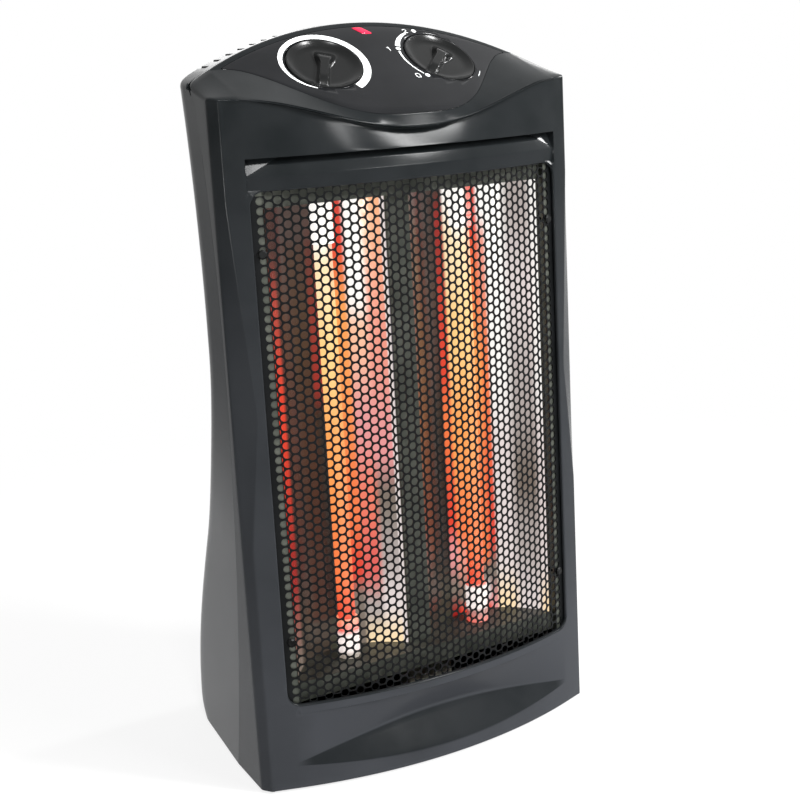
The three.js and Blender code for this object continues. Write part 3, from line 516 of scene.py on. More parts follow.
def corner_plan(z):
    """Plan points of the case's right front corner, from the face to the start of the side."""
    ridge = ridge_at(z)
    side_start = CORNER_DEPTH + min(CORNER_BREAK, (seam_at(z) - CORNER_DEPTH) / 2)
    bow = [(x, bow_at(x)) for x in spread(CORNER_STEPS, FACE_HALF, lerp(FACE_HALF, ridge, 0.8))]
    turn = [
        (bow[-1], 0),
        ((ridge, bow_at(ridge)), RIDGE_ROUND),
        ((side_at(CORNER_DEPTH, z), CORNER_DEPTH), CORNER_BREAK),
        ((side_at(side_start, z), side_start), 0),
    ]
    return [Vector(p) for p in bow] + rounded_path(turn, [2, 4, 1])[1:]


def corner_columns():
    """Columns of the right front corner, and of the side behind it as far as the seam."""
    path = section_path(FACE_HALF)
    brow_row = sum(SECTION_RUNS[:BROW_CORNER]) + ARC_STEPS * (BROW_CORNER - 1)
    wall, cap = path[:brow_row + 1], path[brow_row:]
    face_bow, top = bow_at(FACE_HALF), wall[-1].y
    lengths = [0.0]
    for before, after in zip(cap, cap[1:]):
        lengths.append(lengths[-1] + (after - before).length)
    rises = [share(p.y, LEDGE_TOP, top) for p in wall]
    plans = [corner_plan(p.y) for p in wall]
    columns = []
    for i, front in enumerate(plans[-1]):
        fade = (front.x - FACE_HALF) / (plans[-1][-1].x - FACE_HALF)
        edge = []
        for length in lengths:
            depth = lerp(front.y, roof_seam_at(front.x), length / lengths[-1])
            x = front.x - FRONT_SIDE_TAPER * (depth - front.y) * fade
            inward = min(depth - front.y, side_at(depth, top) - x)
            edge.append((x, depth, head_height(x, depth) - rolled(inward)))
        column = []
        for p, plan, rise in zip(wall, plans, rises):
            carved = (p.x - face_bow) * (1 - fade) if i <= CORNER_STEPS else 0
            column.append(at(plan[i].x, plan[i].y + carved, p.y + (edge[0][2] - top) * rise))
        columns.append(column + [at(*p) for p in edge[1:]])
    flank = []
    for _, edge_depth, edge_z in edge:
        back_share = share(edge_depth, edge[0][1], edge[-1][1])
        column = []
        for p, rise in zip(columns[-1], rises):
            z = p.z + (edge_z - edge[0][2]) * rise
            seam = lerp(seam_at(z), edge[-1][1], square(rise))
            depth = lerp(p.y + CASE_DEPTH / 2, seam, back_share)
            column.append(at(side_at(depth, z), depth, z))
        flank.append(column)
    return columns, flank


def front_housing():
    half_count = round(FACE_HALF / COLUMN_STEP)
    xs = spread(half_count * 2, -FACE_HALF, FACE_HALF)
    xs += [side * out for side in (-1, 1) for out in (OPENING_INSIDE, OPENING_OUTSIDE)]
    face = [[at(x, p.x, p.y) for p in section_path(x)] for x in sorted(xs)]
    corner, flank = corner_columns()
    across = mirrored(corner) + face[1:-1] + corner
    housing = open_grids("front_housing_shell", across, flank, mirrored(flank))
    thicken(housing, SHELL)
    opening = rounded_rectangle(OPENING_HALF, SILL_HEIGHT, OPENING_TOP, OPENING_CORNER, 10)
    cut(housing, prisms("opening", [[at(x, 0, z) for x, z in opening]], -0.02, CORNER_DEPTH), "EXACT")
    cut(housing, panel_slab("panel_seat", -0.01, PANEL_THICKNESS + FIT), "EXACT")
    smooth(housing)
    return housing


# Panel
PANEL_MARGIN = 0.003
PANEL_THICKNESS = 0.0012


def panel_span(x, margin):
    """Lowest and highest point of the panel at one x."""
    tip = PANEL_TIP_OUT - 3 * margin
    edge = panel_edge_at(x * PANEL_TIP_OUT / tip)
    return edge + margin, max(roof_at(x) - PANEL_MARGIN, edge + 3 * FIT) - margin


def below_slope(x, z, depth):
    """The point straight behind the slope's place x and z, at a depth measured square to the slope."""
    return at(x, slope_at(x, z) + depth / math.cos(SLOPE_TILT), z)


def panel_slab(name, near, far):
    """The panel's outline as a slab between two distances behind the slope."""
    sections = []
    for x in spread(120, -PANEL_TIP_OUT, PANEL_TIP_OUT):
        low, high = panel_span(x, 0)
        corners = ((low, far), (low, near), (high, near), (high, far))
        sections.append([below_slope(x, z, depth) for z, depth in corners])
    return loft(name, sections)


# Rear housing: each column of its grid runs up the wall and forward over the roof
SEAM_STRIP = 0.002
REAR_WALL_TOP = FACET_TOP - 0.010
REAR_SIDE_STEPS = 10
REAR_TURN_STEPS = 8
BACK_STEPS = 30
REAR_ROWS = 76
HEEL_ROWS = 6
ROOF_EDGE_SHARES = [0, 0.02, 0.05, 0.1, 0.16]
ROOF_START = 0.24
ROOF_STEPS = 10
RISE_STEPS = 8


def rear_plan(z):
    """Plan points of the rear housing at one height, from the right seam to the middle of the back."""
    seam, back = seam_line_at(z) + FIT, back_at(z)
    turn_start = max(back - REAR_CORNER, seam + SEAM_STRIP)
    side = [Vector((side_at(d, z), d)) for d in spread(REAR_SIDE_STEPS, seam, turn_start)]
    heel = Vector((side_at(back, z), back))
    end = Vector((side_at(back, z) - REAR_CORNER, back))
    turn = [curve(side[-1], heel, end, t) for t in spread(REAR_TURN_STEPS, 0, 1)[1:]]
    return side + turn + [Vector((x, back)) for x in spread(BACK_STEPS, end.x, 0)[1:]]


def rear_columns():
    heights = [CASE_FOOT + (FLARE_FOOT - CASE_FOOT) * square(k / HEEL_ROWS) for k in range(HEEL_ROWS)]
    heights += spread(REAR_ROWS, FLARE_FOOT, REAR_WALL_TOP)
    plans = [rear_plan(z) for z in heights]
    tops = [roof_at(p.x) - EDGE_ROUND for p in plans[-1]]
    top_plan = [rear_plan(z)[j] for j, z in enumerate(tops)]
    last = len(top_plan) - 1
    first_back = REAR_SIDE_STEPS + REAR_TURN_STEPS
    columns = []
    for j, start in enumerate(top_plan):
        seam_out = start.x
        if j < first_back:
            seam_out = lerp(top_plan[0].x, top_plan[first_back].x, j / first_back)
        run = Vector((seam_out, roof_seam_at(seam_out) + FIT)) - start
        along = heading(top_plan[max(j - 1, 0)], top_plan[min(j + 1, last)])
        reach = abs(run.x * along.y - run.y * along.x)
        cap = []
        for t in ROOF_EDGE_SHARES + spread(ROOF_STEPS, ROOF_START, 1):
            p = start + run * t
            cap.append(at(p.x, p.y, roof_at(p.x) - rolled(reach * t)))
        wall = [at(plan[j].x, plan[j].y, z) for plan, z in zip(plans, heights)]
        rise = spread(RISE_STEPS, heights[-1], tops[j])[1:-1]
        columns.append(wall + [at(*rear_plan(z)[j], z) for z in rise] + cap)
    return columns


def rear_cutters():
    """The vents and bores that go through the rear housing."""
    vents, slits, bores = [], [], []
    half, low, high = VENT_WIDTH / 2, ROOF_VENT_FOOT, ROOF_VENT_TOP
    corners = ((-half, low), (half, low), (half, high), (-half, high))
    for side in (-1, 1):
        for i in range(ROOF_VENT_COUNT):
            x = side * (ROOF_VENT_FIRST + i * VENT_PITCH)
            vents.append([at(x + u, BACK_AT_HEAD - ROOF_VENT_DEPTH, z) for u, z in corners])
    for start in BACK_VENT_STARTS:
        for i in range(BACK_VENT_COUNT):
            z = start + i * BACK_VENT_PITCH
            outline = rounded_rectangle(BACK_VENT_HALF, z, z + BACK_VENT_HEIGHT, BACK_VENT_CORNER, 4)
            slits.append([at(x, back_at(z) - REAR_CORNER, height) for x, height in outline])
    for out, z in SCREW_PLACES:
        depth = seam_at(z) + FIT + WALL
        bores += [[at(side * out + u, depth, z + v) for u, v in ring(SCREW_BORE, 32)] for side in (-1, 1)]
    x, z = GLAND_PLACE
    bores.append([at(x + u, CASE_DEPTH - GLAND_WALL, z + v) for u, v in ring(GLAND_BORE, 32)])
    return (
        ("roof_vents", vents, 0, ROOF_VENT_REACH),
        ("back_vents", slits, 0, BACK_VENT_REACH),
        ("bores", bores, 0, CASE_DEPTH),
    )


def rear_housing():
    columns = rear_columns()
    housing = open_grids("rear_housing_shell", columns, mirrored(columns))
    thicken(housing, SHELL)
    for cutter in rear_cutters():
        cut(housing, prisms(*cutter))
    smooth(housing)
    return housing


front = front_housing()
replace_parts(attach(front, "heater"), "front_housing")
rear = rear_housing()
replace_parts(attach(rear, "heater"), "rear_housing")


# Perforated sheet
HOLE_COLUMNS = 42
HOLE_ROWS = 55
HOLE_ACROSS = 0.00615
HOLE_UP = 0.0071
HOLE_RADIUS = 0.00295
SHEET_BEHIND = 0.0031
SHEET_THICKNESS = 0.0008
SHEET_FOOT = SILL_HEIGHT - 0.0029
SHEET_TOP = OPENING_TOP + 0.003
SHEET_HALF = OPENING_HALF + 0.002


def sheet_wall(x, z):
    """The sheet's front and back point at one place."""
    depths = (SHEET_BEHIND, SHEET_BEHIND + SHEET_THICKNESS)
    return [at(x * (1 - behind / BOW_RADIUS), bow_at(x) + behind, z) for behind in depths]


def perforated_sheet():
    """A bowed sheet with staggered round holes. Each cell is a ring of quads between its edge and hole."""
    half = HOLE_COLUMNS * HOLE_ACROSS / 2
    middle = (SHEET_FOOT + SHEET_TOP) / 2
    edge = [(-0.5, k / 4 - 0.5) for k in range(4)] + [(k / 4 - 0.5, 0.5) for k in range(4)]
    edge += [(-u, -v) for u, v in edge]
    vertices, faces = [], []
    for i in range(HOLE_COLUMNS):
        x = (i + 0.5) * HOLE_ACROSS - half
        stagger = 0.5 * (i % 2) - 0.25
        for j in range(HOLE_ROWS):
            z = middle + (j - (HOLE_ROWS - 1) / 2 + stagger) * HOLE_UP
            faces += grid_faces(len(edge), 4, len(vertices), looped=True)
            for u, v in edge:
                across, up = u * HOLE_ACROSS, v * HOLE_UP
                hole_x, hole_z = around(HOLE_RADIUS, math.atan2(up, across))
                near, far = sheet_wall(x + across, z + up)
                vertices += [near, *sheet_wall(x + hole_x, z + hole_z), far]
    corners = ((half, SHEET_FOOT), (SHEET_HALF, SHEET_FOOT), (SHEET_HALF, SHEET_TOP), (half, SHEET_TOP))
    for side in (-1, 1):
        base = len(vertices)
        for x, z in corners:
            vertices += sheet_wall(side * x, z)
        faces += grid_faces(4, 2, base, looped=True)
        faces += [(base, base + 2, base + 4, base + 6), (base + 7, base + 5, base + 3, base + 1)]
    return mesh_object("perforated_sheet", vertices, faces)


sheet = perforated_sheet()
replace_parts(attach(sheet, "heater"), "grille")


# Opening's rounded rim
RIM_ROUND = 0.0016
RIM_FIT = 0.0002
RIM_OVERLAP = 0.0004
RIM_STEP = 0.004
LEDGE_RUN = 0.006


def dense_outline(outline):
    """The closed outline with points added on its long straights."""
    dense = []
    for a, b in zip(outline, outline[1:] + outline[:1]):
        count = max(1, round(math.dist(a, b) / RIM_STEP))
        dense += [(lerp(a[0], b[0], k / count), lerp(a[1], b[1], k / count)) for k in range(count)]
    return dense


def opening_rim():
    """A rolled edge that runs along the opening's outline, on the bow and on the ledge's foot."""
    low, high = SILL_HEIGHT - RIM_FIT, OPENING_TOP + RIM_FIT
    outline = dense_outline(rounded_rectangle(OPENING_HALF + RIM_FIT, low, high, OPENING_CORNER, 12))
    profile = [(RIM_ROUND * math.sin(t), RIM_ROUND * (1 - math.cos(t))) for t in spread(6, 0, math.pi / 2)]
    profile += [(RIM_ROUND, WALL), (-RIM_OVERLAP, WALL), (-RIM_OVERLAP, 0.0003)]
    sections = []
    for i, (x, z) in enumerate(outline):
        run = heading(outline[i - 1], outline[(i + 1) % len(outline)])
        section = []
        for inward, behind in profile:
            px, pz = x - run.y * inward, z + run.x * inward
            ledge = share(pz, OPENING_TOP - LEDGE_RUN, OPENING_TOP) * LEDGE_FOOT_DEPTH
            section.append(at(px, bow_at(px) + ledge + behind, pz))
        sections.append(section)
    return loft("opening_rim", sections, looped=True)


rim = opening_rim()
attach(rim, "heater")


# Control panel
KNOB_HEIGHT = SLOPE_START + 0.0408
THERMOSTAT_OUT = -0.314 * HALF_WIDTH
SELECTOR_OUT = 0.343 * HALF_WIDTH
PILOT_HEIGHT = CASE_HEIGHT - 0.0066
PILOT_WIDTH = 0.009
PILOT_TALL = 0.009
PILOT_SLANT = 0.0035
PILOT_FOOT = -0.0006
PILOT_CREST = 0.0009
PRINT_PROUD = 0.00012
PANEL_GAP = 0.00008
PANEL_EDGE = 0.0005
PANEL_ROWS = 12


def panel_frame(x, z):
    """The frame on the sloped panel: origin on its surface, +Z out of it, +Y up it."""
    lean = x / math.sqrt(square(BOW_RADIUS) - x * x)
    across = Vector((1, lean, 0)).normalized()
    out = Vector((lean, -1, math.tan(SLOPE_TILT))).normalized()
    up = out.cross(across)
    turn = Matrix((across, up, out)).transposed().to_4x4()
    return Matrix.Translation(at(x, slope_at(x, z), z)) @ turn


def on_panel(panel, u, v, proud=PRINT_PROUD):
    """The point over the panel's surface at u across and v up from a panel frame's origin."""
    p = panel @ Vector((u, v, 0))
    out = panel.to_3x3() @ Vector((0, 0, 1))
    return at(p.x, slope_at(p.x, p.z), p.z) + out * proud


def panel_overlay():
    """The overlay follows the slope; its edge is rolled over."""
    tip = PANEL_TIP_OUT - 3 * FIT
    back = PANEL_THICKNESS - FIT
    sections = []
    for x in spread(240, -tip, tip):
        low, high = panel_span(x, PANEL_GAP)
        roll = min(PANEL_EDGE, (high - low) / 3)
        soft = roll * 0.3
        steps = [(low, back), (low, roll), (low + soft, soft)]
        steps += [(z, 0) for z in spread(PANEL_ROWS, low + roll, high - roll)]
        steps += [(high - soft, soft), (high, roll), (high, back)]
        sections.append([below_slope(x, z, depth) for z, depth in steps])
    return loft("panel_overlay", sections)


def print_strip(name, panel, line, widths):
    """A flat printed line on the panel, along (u, v) points, with a width at each."""
    columns = []
    for i, (u, v) in enumerate(line):
        run = heading(line[max(i - 1, 0)], line[min(i + 1, len(line) - 1)])
        half = widths[i] / 2
        columns.append([on_panel(panel, u - run.y * half * side, v + run.x * half * side)
                        for side in (-1, -0.33, 0.33, 1)])
    return open_grids(name, columns)


def print_dot(name, panel, u, v, radius):
    n = 20
    vertices = [on_panel(panel, u, v)] + [on_panel(panel, u + a, v + b) for a, b in ring(radius, n)]
    return mesh_object(name, vertices, [(0, 1 + k, 1 + (k + 1) % n) for k in range(n)], closed=False)


def arc_points(radius, start, end, steps):
    """Points of an arc; the angles are degrees from +u, counter-clockwise."""
    return [around(radius, math.radians(angle)) for angle in spread(steps, start, end)]


def join(name, pieces):
    """Joins mesh objects into one."""
    edit = bmesh.new()
    for piece in pieces:
        edit.from_mesh(piece.data)
        bpy.data.objects.remove(piece)
    mesh = bpy.data.meshes.new(name)
    edit.to_mesh(mesh)
    edit.free()
    return link_object(name, mesh)


# Dial prints: the thermostat's ring grows clockwise, the selector has three marked positions
RING_RADIUS = 0.0306
RING_SHIFT = (-0.0006, -0.0005)
RING_THIN = 0.0008
RING_THICK = 0.0060
RING_GROWTH = 2.2
RING_START = 243
RING_END = -58
RING_STEPS = 120
SELECTOR_RING = 0.034
POSITIONS = {"0": 219, "1": 158, "2": 95}
DOT_RADIUS = 0.0020
DIGIT_LEFT = 0.0085
DIGIT_UP = 0.0004
DIGIT_TALL = 0.0045
DIGIT_STROKE = 0.0006
STROKE_OVERLAP = DIGIT_STROKE * 0.35
DIGITS = {
    "0": [(-0.28, -0.5), (0.28, -0.5), (0.38, -0.3), (0.38, 0.3), (0.28, 0.5), (-0.28, 0.5), (-0.38, 0.3),
          (-0.38, -0.3), (-0.28, -0.5)],
    "1": [(-0.22, 0.3), (0.06, 0.5), (0.06, -0.5)],
    "2": [(-0.34, 0.28), (-0.2, 0.47), (0.2, 0.47), (0.34, 0.28), (0.3, 0.08), (-0.34, -0.48), (0.36, -0.48)],
}
# Each arc: degrees at its start and end, widths there, steps
SELECTOR_ARCS = (
    (POSITIONS["1"] - 6, POSITIONS["2"] + 17, 0.0042, 0.0018, 30),
    (POSITIONS["0"] - 5, POSITIONS["1"] + 6, 0.0008, 0.0016, 40),
    (-38, -52, 0.0005, 0.0005, 8),
)


def thermostat_print(panel):
    widths = [lerp(RING_THICK, RING_THIN, (1 - k / RING_STEPS) ** RING_GROWTH) for k in range(RING_STEPS + 1)]
    line = []
    for (u, v), width in zip(arc_points(1, RING_START, RING_END, RING_STEPS), widths):
        radius = RING_RADIUS + width / 2
        line.append((RING_SHIFT[0] + u * radius, RING_SHIFT[1] + v * radius))
    return print_strip("thermostat_print", panel, line, widths)


def digit(text, panel, u, v):
    """A numeral made of straight strokes, each a little longer than its step."""
    line = [Vector((u + x * DIGIT_TALL, v + y * DIGIT_TALL)) for x, y in DIGITS[text]]
    strokes = []
    for start, end in zip(line, line[1:]):
        reach = (end - start).normalized() * STROKE_OVERLAP
        points = [tuple(start - reach), tuple((start + end) / 2), tuple(end + reach)]
        strokes.append(print_strip("digit", panel, points, [DIGIT_STROKE] * 3))
    return join("digit", strokes)


def selector_print(panel):
    pieces = []
    for text, angle in POSITIONS.items():
        u, v = around(SELECTOR_RING, math.radians(angle))
        pieces.append(print_dot("dot", panel, u, v, DOT_RADIUS))
        pieces.append(digit(text, panel, u - DIGIT_LEFT, v + DIGIT_UP))
    for start, end, first, last, steps in SELECTOR_ARCS:
        line = arc_points(SELECTOR_RING, start, end, steps)
        pieces.append(print_strip("arc", panel, line, spread(steps, first, last)))
    return join("selector_print", pieces)


overlay = panel_overlay()
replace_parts(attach(overlay, "heater"), "control_panel")
thermostat_frame = panel_frame(THERMOSTAT_OUT, KNOB_HEIGHT)
selector_frame = panel_frame(SELECTOR_OUT, KNOB_HEIGHT)
prints = [thermostat_print(thermostat_frame), selector_print(selector_frame)]
for piece in prints:
    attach(piece, "heater")


# Knobs: a dished disc with a grip across it, let into a round well of the panel
KNOB_RADIUS = 0.029
KNOB_RIM = 0.0002
KNOB_FLOOR = -0.0027
KNOB_FOOT = -0.0033
KNOB_EDGE = 0.0010
KNOB_RINGS = 72
KNOB_SIDES = 192
DISH_RADIUS = 0.0185
DISH_POWER = 2.2
WELL_RADIUS = 0.0300
WELL_FLOOR = -0.0036
WELL_BACK = -0.0040
WELL_LIP = 0.00035
WELL_SIDES = 96
SPINDLE_BORE = 0.0036
SPINDLE_RADIUS = 0.0030
SPINDLE_CHAMFER = 0.0004
SPINDLE_FLAT = 0.0022
SPINDLE_FOOT = -0.0155
SPINDLE_TOP = -0.0029
GRIP_NEAR = -0.0282
GRIP_FAR = 0.0205
GRIP_CREST = KNOB_RIM + 0.0034
GRIP_DIP = 0.0040
GRIP_SUNK = KNOB_FLOOR - 0.0006
GRIP_SOFT = 0.0018
GRIP_HALF_NEAR = 0.0046
GRIP_HALF = 0.0042
GRIP_SPLAY = 0.0044
THERMOSTAT_REST = math.radians(-21)
SELECTOR_REST = math.radians(-49)


def knob_height(u, v):
    """Height of the knob's top over the panel: rim, dish, and the grip that runs from the near rim."""
    outward = share(math.hypot(u, v), DISH_RADIUS, KNOB_RADIUS - KNOB_EDGE)
    dish = lerp(KNOB_FLOOR, KNOB_RIM, outward ** DISH_POWER)
    along = share(v, GRIP_NEAR, GRIP_FAR)
    crest = GRIP_CREST - GRIP_DIP * square(1 - share(along, 0, 0.22))
    crest = lerp(crest, GRIP_SUNK, ease(share(along, 0.62, 1)))
    half = lerp(GRIP_HALF_NEAR, GRIP_HALF, share(along, 0, 0.4)) + GRIP_SPLAY * ease(share(along, 0.5, 0.9))
    bar = lerp(crest, GRIP_SUNK, ease(share(abs(u), half * 0.62, half * 1.38)))
    over = share(bar - dish, -GRIP_SOFT, GRIP_SOFT)
    return lerp(dish, bar, over) + GRIP_SOFT * over * (1 - over) / 2


def level_rings(place, profile, sides):
    """Rings of (radius, height) pairs in a frame."""
    return [[place @ Vector((u, v, height)) for u, v in ring(radius, sides)] for radius, height in profile]


def knob(name, place):
    top = [[place @ Vector((u, v, knob_height(u, v))) for u, v in ring(radius, KNOB_SIDES)]
           for radius in spread(KNOB_RINGS, 0.0004, KNOB_RADIUS - KNOB_EDGE)]
    rim = (
        (KNOB_RADIUS - 0.0004, KNOB_RIM - 0.0001),
        (KNOB_RADIUS - 0.0001, KNOB_RIM - 0.0004),
        (KNOB_RADIUS, KNOB_RIM - 0.0008),
        (KNOB_RADIUS, KNOB_FOOT + 0.0004),
        (KNOB_RADIUS - 0.0004, KNOB_FOOT),
    )
    return loft(name, top + level_rings(place, rim, KNOB_SIDES))


def well(name, panel):
    """A round well with a fine raised lip, open where the spindle passes."""
    lip = WELL_RADIUS + WELL_LIP
    inner = WELL_RADIUS - 0.00012
    following = ((lip, 0.00005), (lip - 0.0001, 0.00012), (WELL_RADIUS, 0.00012), (inner, -0.0001))
    level = ((inner, WELL_FLOOR), (SPINDLE_BORE, WELL_FLOOR), (SPINDLE_BORE, WELL_BACK), (lip, WELL_BACK))
    sections = level_rings(panel, [(lip, -0.0012)], WELL_SIDES)
    sections += [[on_panel(panel, u, v, height) for u, v in ring(radius, WELL_SIDES)]
                 for radius, height in following]
    return loft(name, sections + level_rings(panel, level, WELL_SIDES), looped=True)


def plug(panel):
    """A cutter for a well."""
    radius = WELL_RADIUS + WELL_LIP / 2
    return loft("plug", level_rings(panel, [(radius, WELL_BACK - 0.004), (radius, 0.004)], WELL_SIDES))


def spindle(name, place):
    """A shaft with a flat on one side and a chamfered end."""
    end = SPINDLE_RADIUS - SPINDLE_CHAMFER
    profile = ((end, SPINDLE_FOOT), (SPINDLE_RADIUS, SPINDLE_FOOT + SPINDLE_CHAMFER),
               (SPINDLE_RADIUS, SPINDLE_TOP - SPINDLE_CHAMFER), (end, SPINDLE_TOP))
    return loft(name, [[place @ Vector((min(u, SPINDLE_FLAT), v, height)) for u, v in ring(radius, 32)]
                       for radius, height in profile])


knobs, wells, spindles = [], [], []
for body, panel, rest in (
    ("thermostat", thermostat_frame, THERMOSTAT_REST),
    ("selector", selector_frame, SELECTOR_REST),
):
    for obj in (overlay, front):
        cut(obj, plug(panel), "EXACT")
    place = panel @ Matrix.Rotation(rest, 4, "Z")
    wells.append(well(f"{body}_well", panel))
    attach(wells[-1], "heater")
    knobs.append(knob(f"{body}_dial", place))
    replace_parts(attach(knobs[-1], body), f"{body}_knob")
    spindles.append(spindle(f"{body}_shaft", place))
    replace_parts(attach(spindles[-1], body), f"{body}_spindle")


# Pilot lens
def pilot_lens():
    """A pillow-shaped lens."""
    panel = panel_frame(0, PILOT_HEIGHT)
    columns = []
    for u in spread(16, -1, 1):
        column = []
        for v in spread(16, -1, 1):
            bulge = (1 - u ** 4) * (1 - v ** 4)
            height = lerp(PILOT_FOOT, PILOT_CREST, bulge ** 0.4)
            column.append(on_panel(panel, u * PILOT_WIDTH / 2 - v * PILOT_SLANT, v * PILOT_TALL / 2, height))
        columns.append(column)
    return open_grids("pilot_pillow", columns)


lens = pilot_lens()
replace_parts(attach(lens, "heater"), "pilot_lens")


# Reflectors, heating coils and quartz tubes
REFLECTOR_OUT = OPENING_HALF - 0.015
REFLECTOR_FRONT = CORNER_DEPTH - 0.0075
APEX_OUT = OPENING_HALF - 0.072
APEX_DEPTH = REFLECTOR_FRONT + 0.0425
FLANGE_HALF = 0.010
FLANGE_DEPTH = REFLECTOR_FRONT + 0.0165
SHEET_LOW = SILL_HEIGHT + 0.0155
SHEET_HIGH = OPENING_TOP - 0.0143
REFLECTOR_THICKNESS = 0.0008
TROUGH_STEPS = 28
TUBE_OUT = APEX_OUT
TUBE_DEPTH = APEX_DEPTH - 0.0187
TUBE_RADIUS = 0.007
TUBE_LOW = 0.0968
TUBE_HIGH = 0.4404
TUBE_WALL = 0.0011
TUBE_LIP = 0.0004
COIL_LOW = 0.1045
COIL_HIGH = 0.4327
COIL_RADIUS = 0.0046
COIL_PITCH = 0.0026
WIRE_RADIUS = 0.00055
TURN_STEPS = 14


def trough(name, side):
    """A smooth trough, from its outer edge over the apex behind the tube to the flange in the middle."""
    apex = Vector((APEX_OUT, APEX_DEPTH))
    outer_bend = Vector(((REFLECTOR_OUT + APEX_OUT) / 2 + FLANGE_HALF, APEX_DEPTH))
    inner_bend = Vector(((APEX_OUT + FLANGE_HALF) / 2, APEX_DEPTH))
    shares = spread(TROUGH_STEPS, 0, 1)
    line = [curve(Vector((REFLECTOR_OUT, REFLECTOR_FRONT)), outer_bend, apex, t) for t in shares]
    line += [curve(apex, inner_bend, Vector((FLANGE_HALF + 0.001, FLANGE_DEPTH)), t) for t in shares[1:]]
    line.append(Vector((FIT, FLANGE_DEPTH)))
    columns = [[at(side * p.x, p.y, z) for z in spread(24, SHEET_LOW, SHEET_HIGH)] for p in line[::-side]]
    obj = open_grids(name, columns)
    thicken(obj, REFLECTOR_THICKNESS)
    smooth(obj)
    return obj


def coil(name, side):
    """One unbroken wire wound at an even pitch."""
    steps = round((COIL_HIGH - COIL_LOW) / COIL_PITCH * TURN_STEPS)
    centre = at(side * TUBE_OUT, TUBE_DEPTH, 0)
    wire = ring(WIRE_RADIUS, 6)
    sections = []
    for i, z in enumerate(spread(steps, COIL_LOW, COIL_HIGH)):
        out = Vector((*around(1, math.tau * i / TURN_STEPS), 0))
        sections.append([centre + out * (COIL_RADIUS + u) + Vector((0, 0, z + v)) for u, v in wire])
    return loft(name, sections)


def tube(name, side):
    """A clear tube with a rounded lip at each end."""
    narrow, inside = TUBE_RADIUS - TUBE_LIP, TUBE_RADIUS - TUBE_WALL
    profile = [(narrow, TUBE_LOW), (TUBE_RADIUS, TUBE_LOW + TUBE_LIP)]
    profile += [(TUBE_RADIUS, z) for z in spread(24, TUBE_LOW + 0.002, TUBE_HIGH - 0.002)]
    profile += [(TUBE_RADIUS, TUBE_HIGH - TUBE_LIP), (narrow, TUBE_HIGH)]
    profile += [(inside, TUBE_HIGH), (inside, TUBE_LOW)]
    place = Matrix.Translation(at(side * TUBE_OUT, TUBE_DEPTH, 0))
    return loft(name, level_rings(place, profile, 40), looped=True)


troughs, coils, tubes = [], [], []
for group, make, kind, slot, node in (
    (troughs, trough, "trough", "polished", "reflector"),
    (coils, coil, "wound_wire", "coil", "heating_coil"),
    (tubes, tube, "clear_tube", "quartz", "quartz_tube"),
):
    for word, side in (("left", -1), ("right", 1)):
        piece = make(f"{kind}_{word}", side)
        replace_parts(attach(piece, "heater"), f"{node}_{word}")
        group.append(piece)


# Materials: colours are linear light, without their opacity
MICRON = 0.000001


def tone(red, green, blue):
    """A screen colour, of values to 255 and over 10, as linear light."""
    return tuple(((value / 255 + 0.055) / 1.055) ** 2.4 for value in (red, green, blue))


def maths(tree, operation, first, second):
    """A maths node over two sockets."""
    node = tree.nodes.new("ShaderNodeMath")
    node.operation = operation
    tree.links.new(first, node.inputs[0])
    tree.links.new(second, node.inputs[1])
    return node.outputs[0]


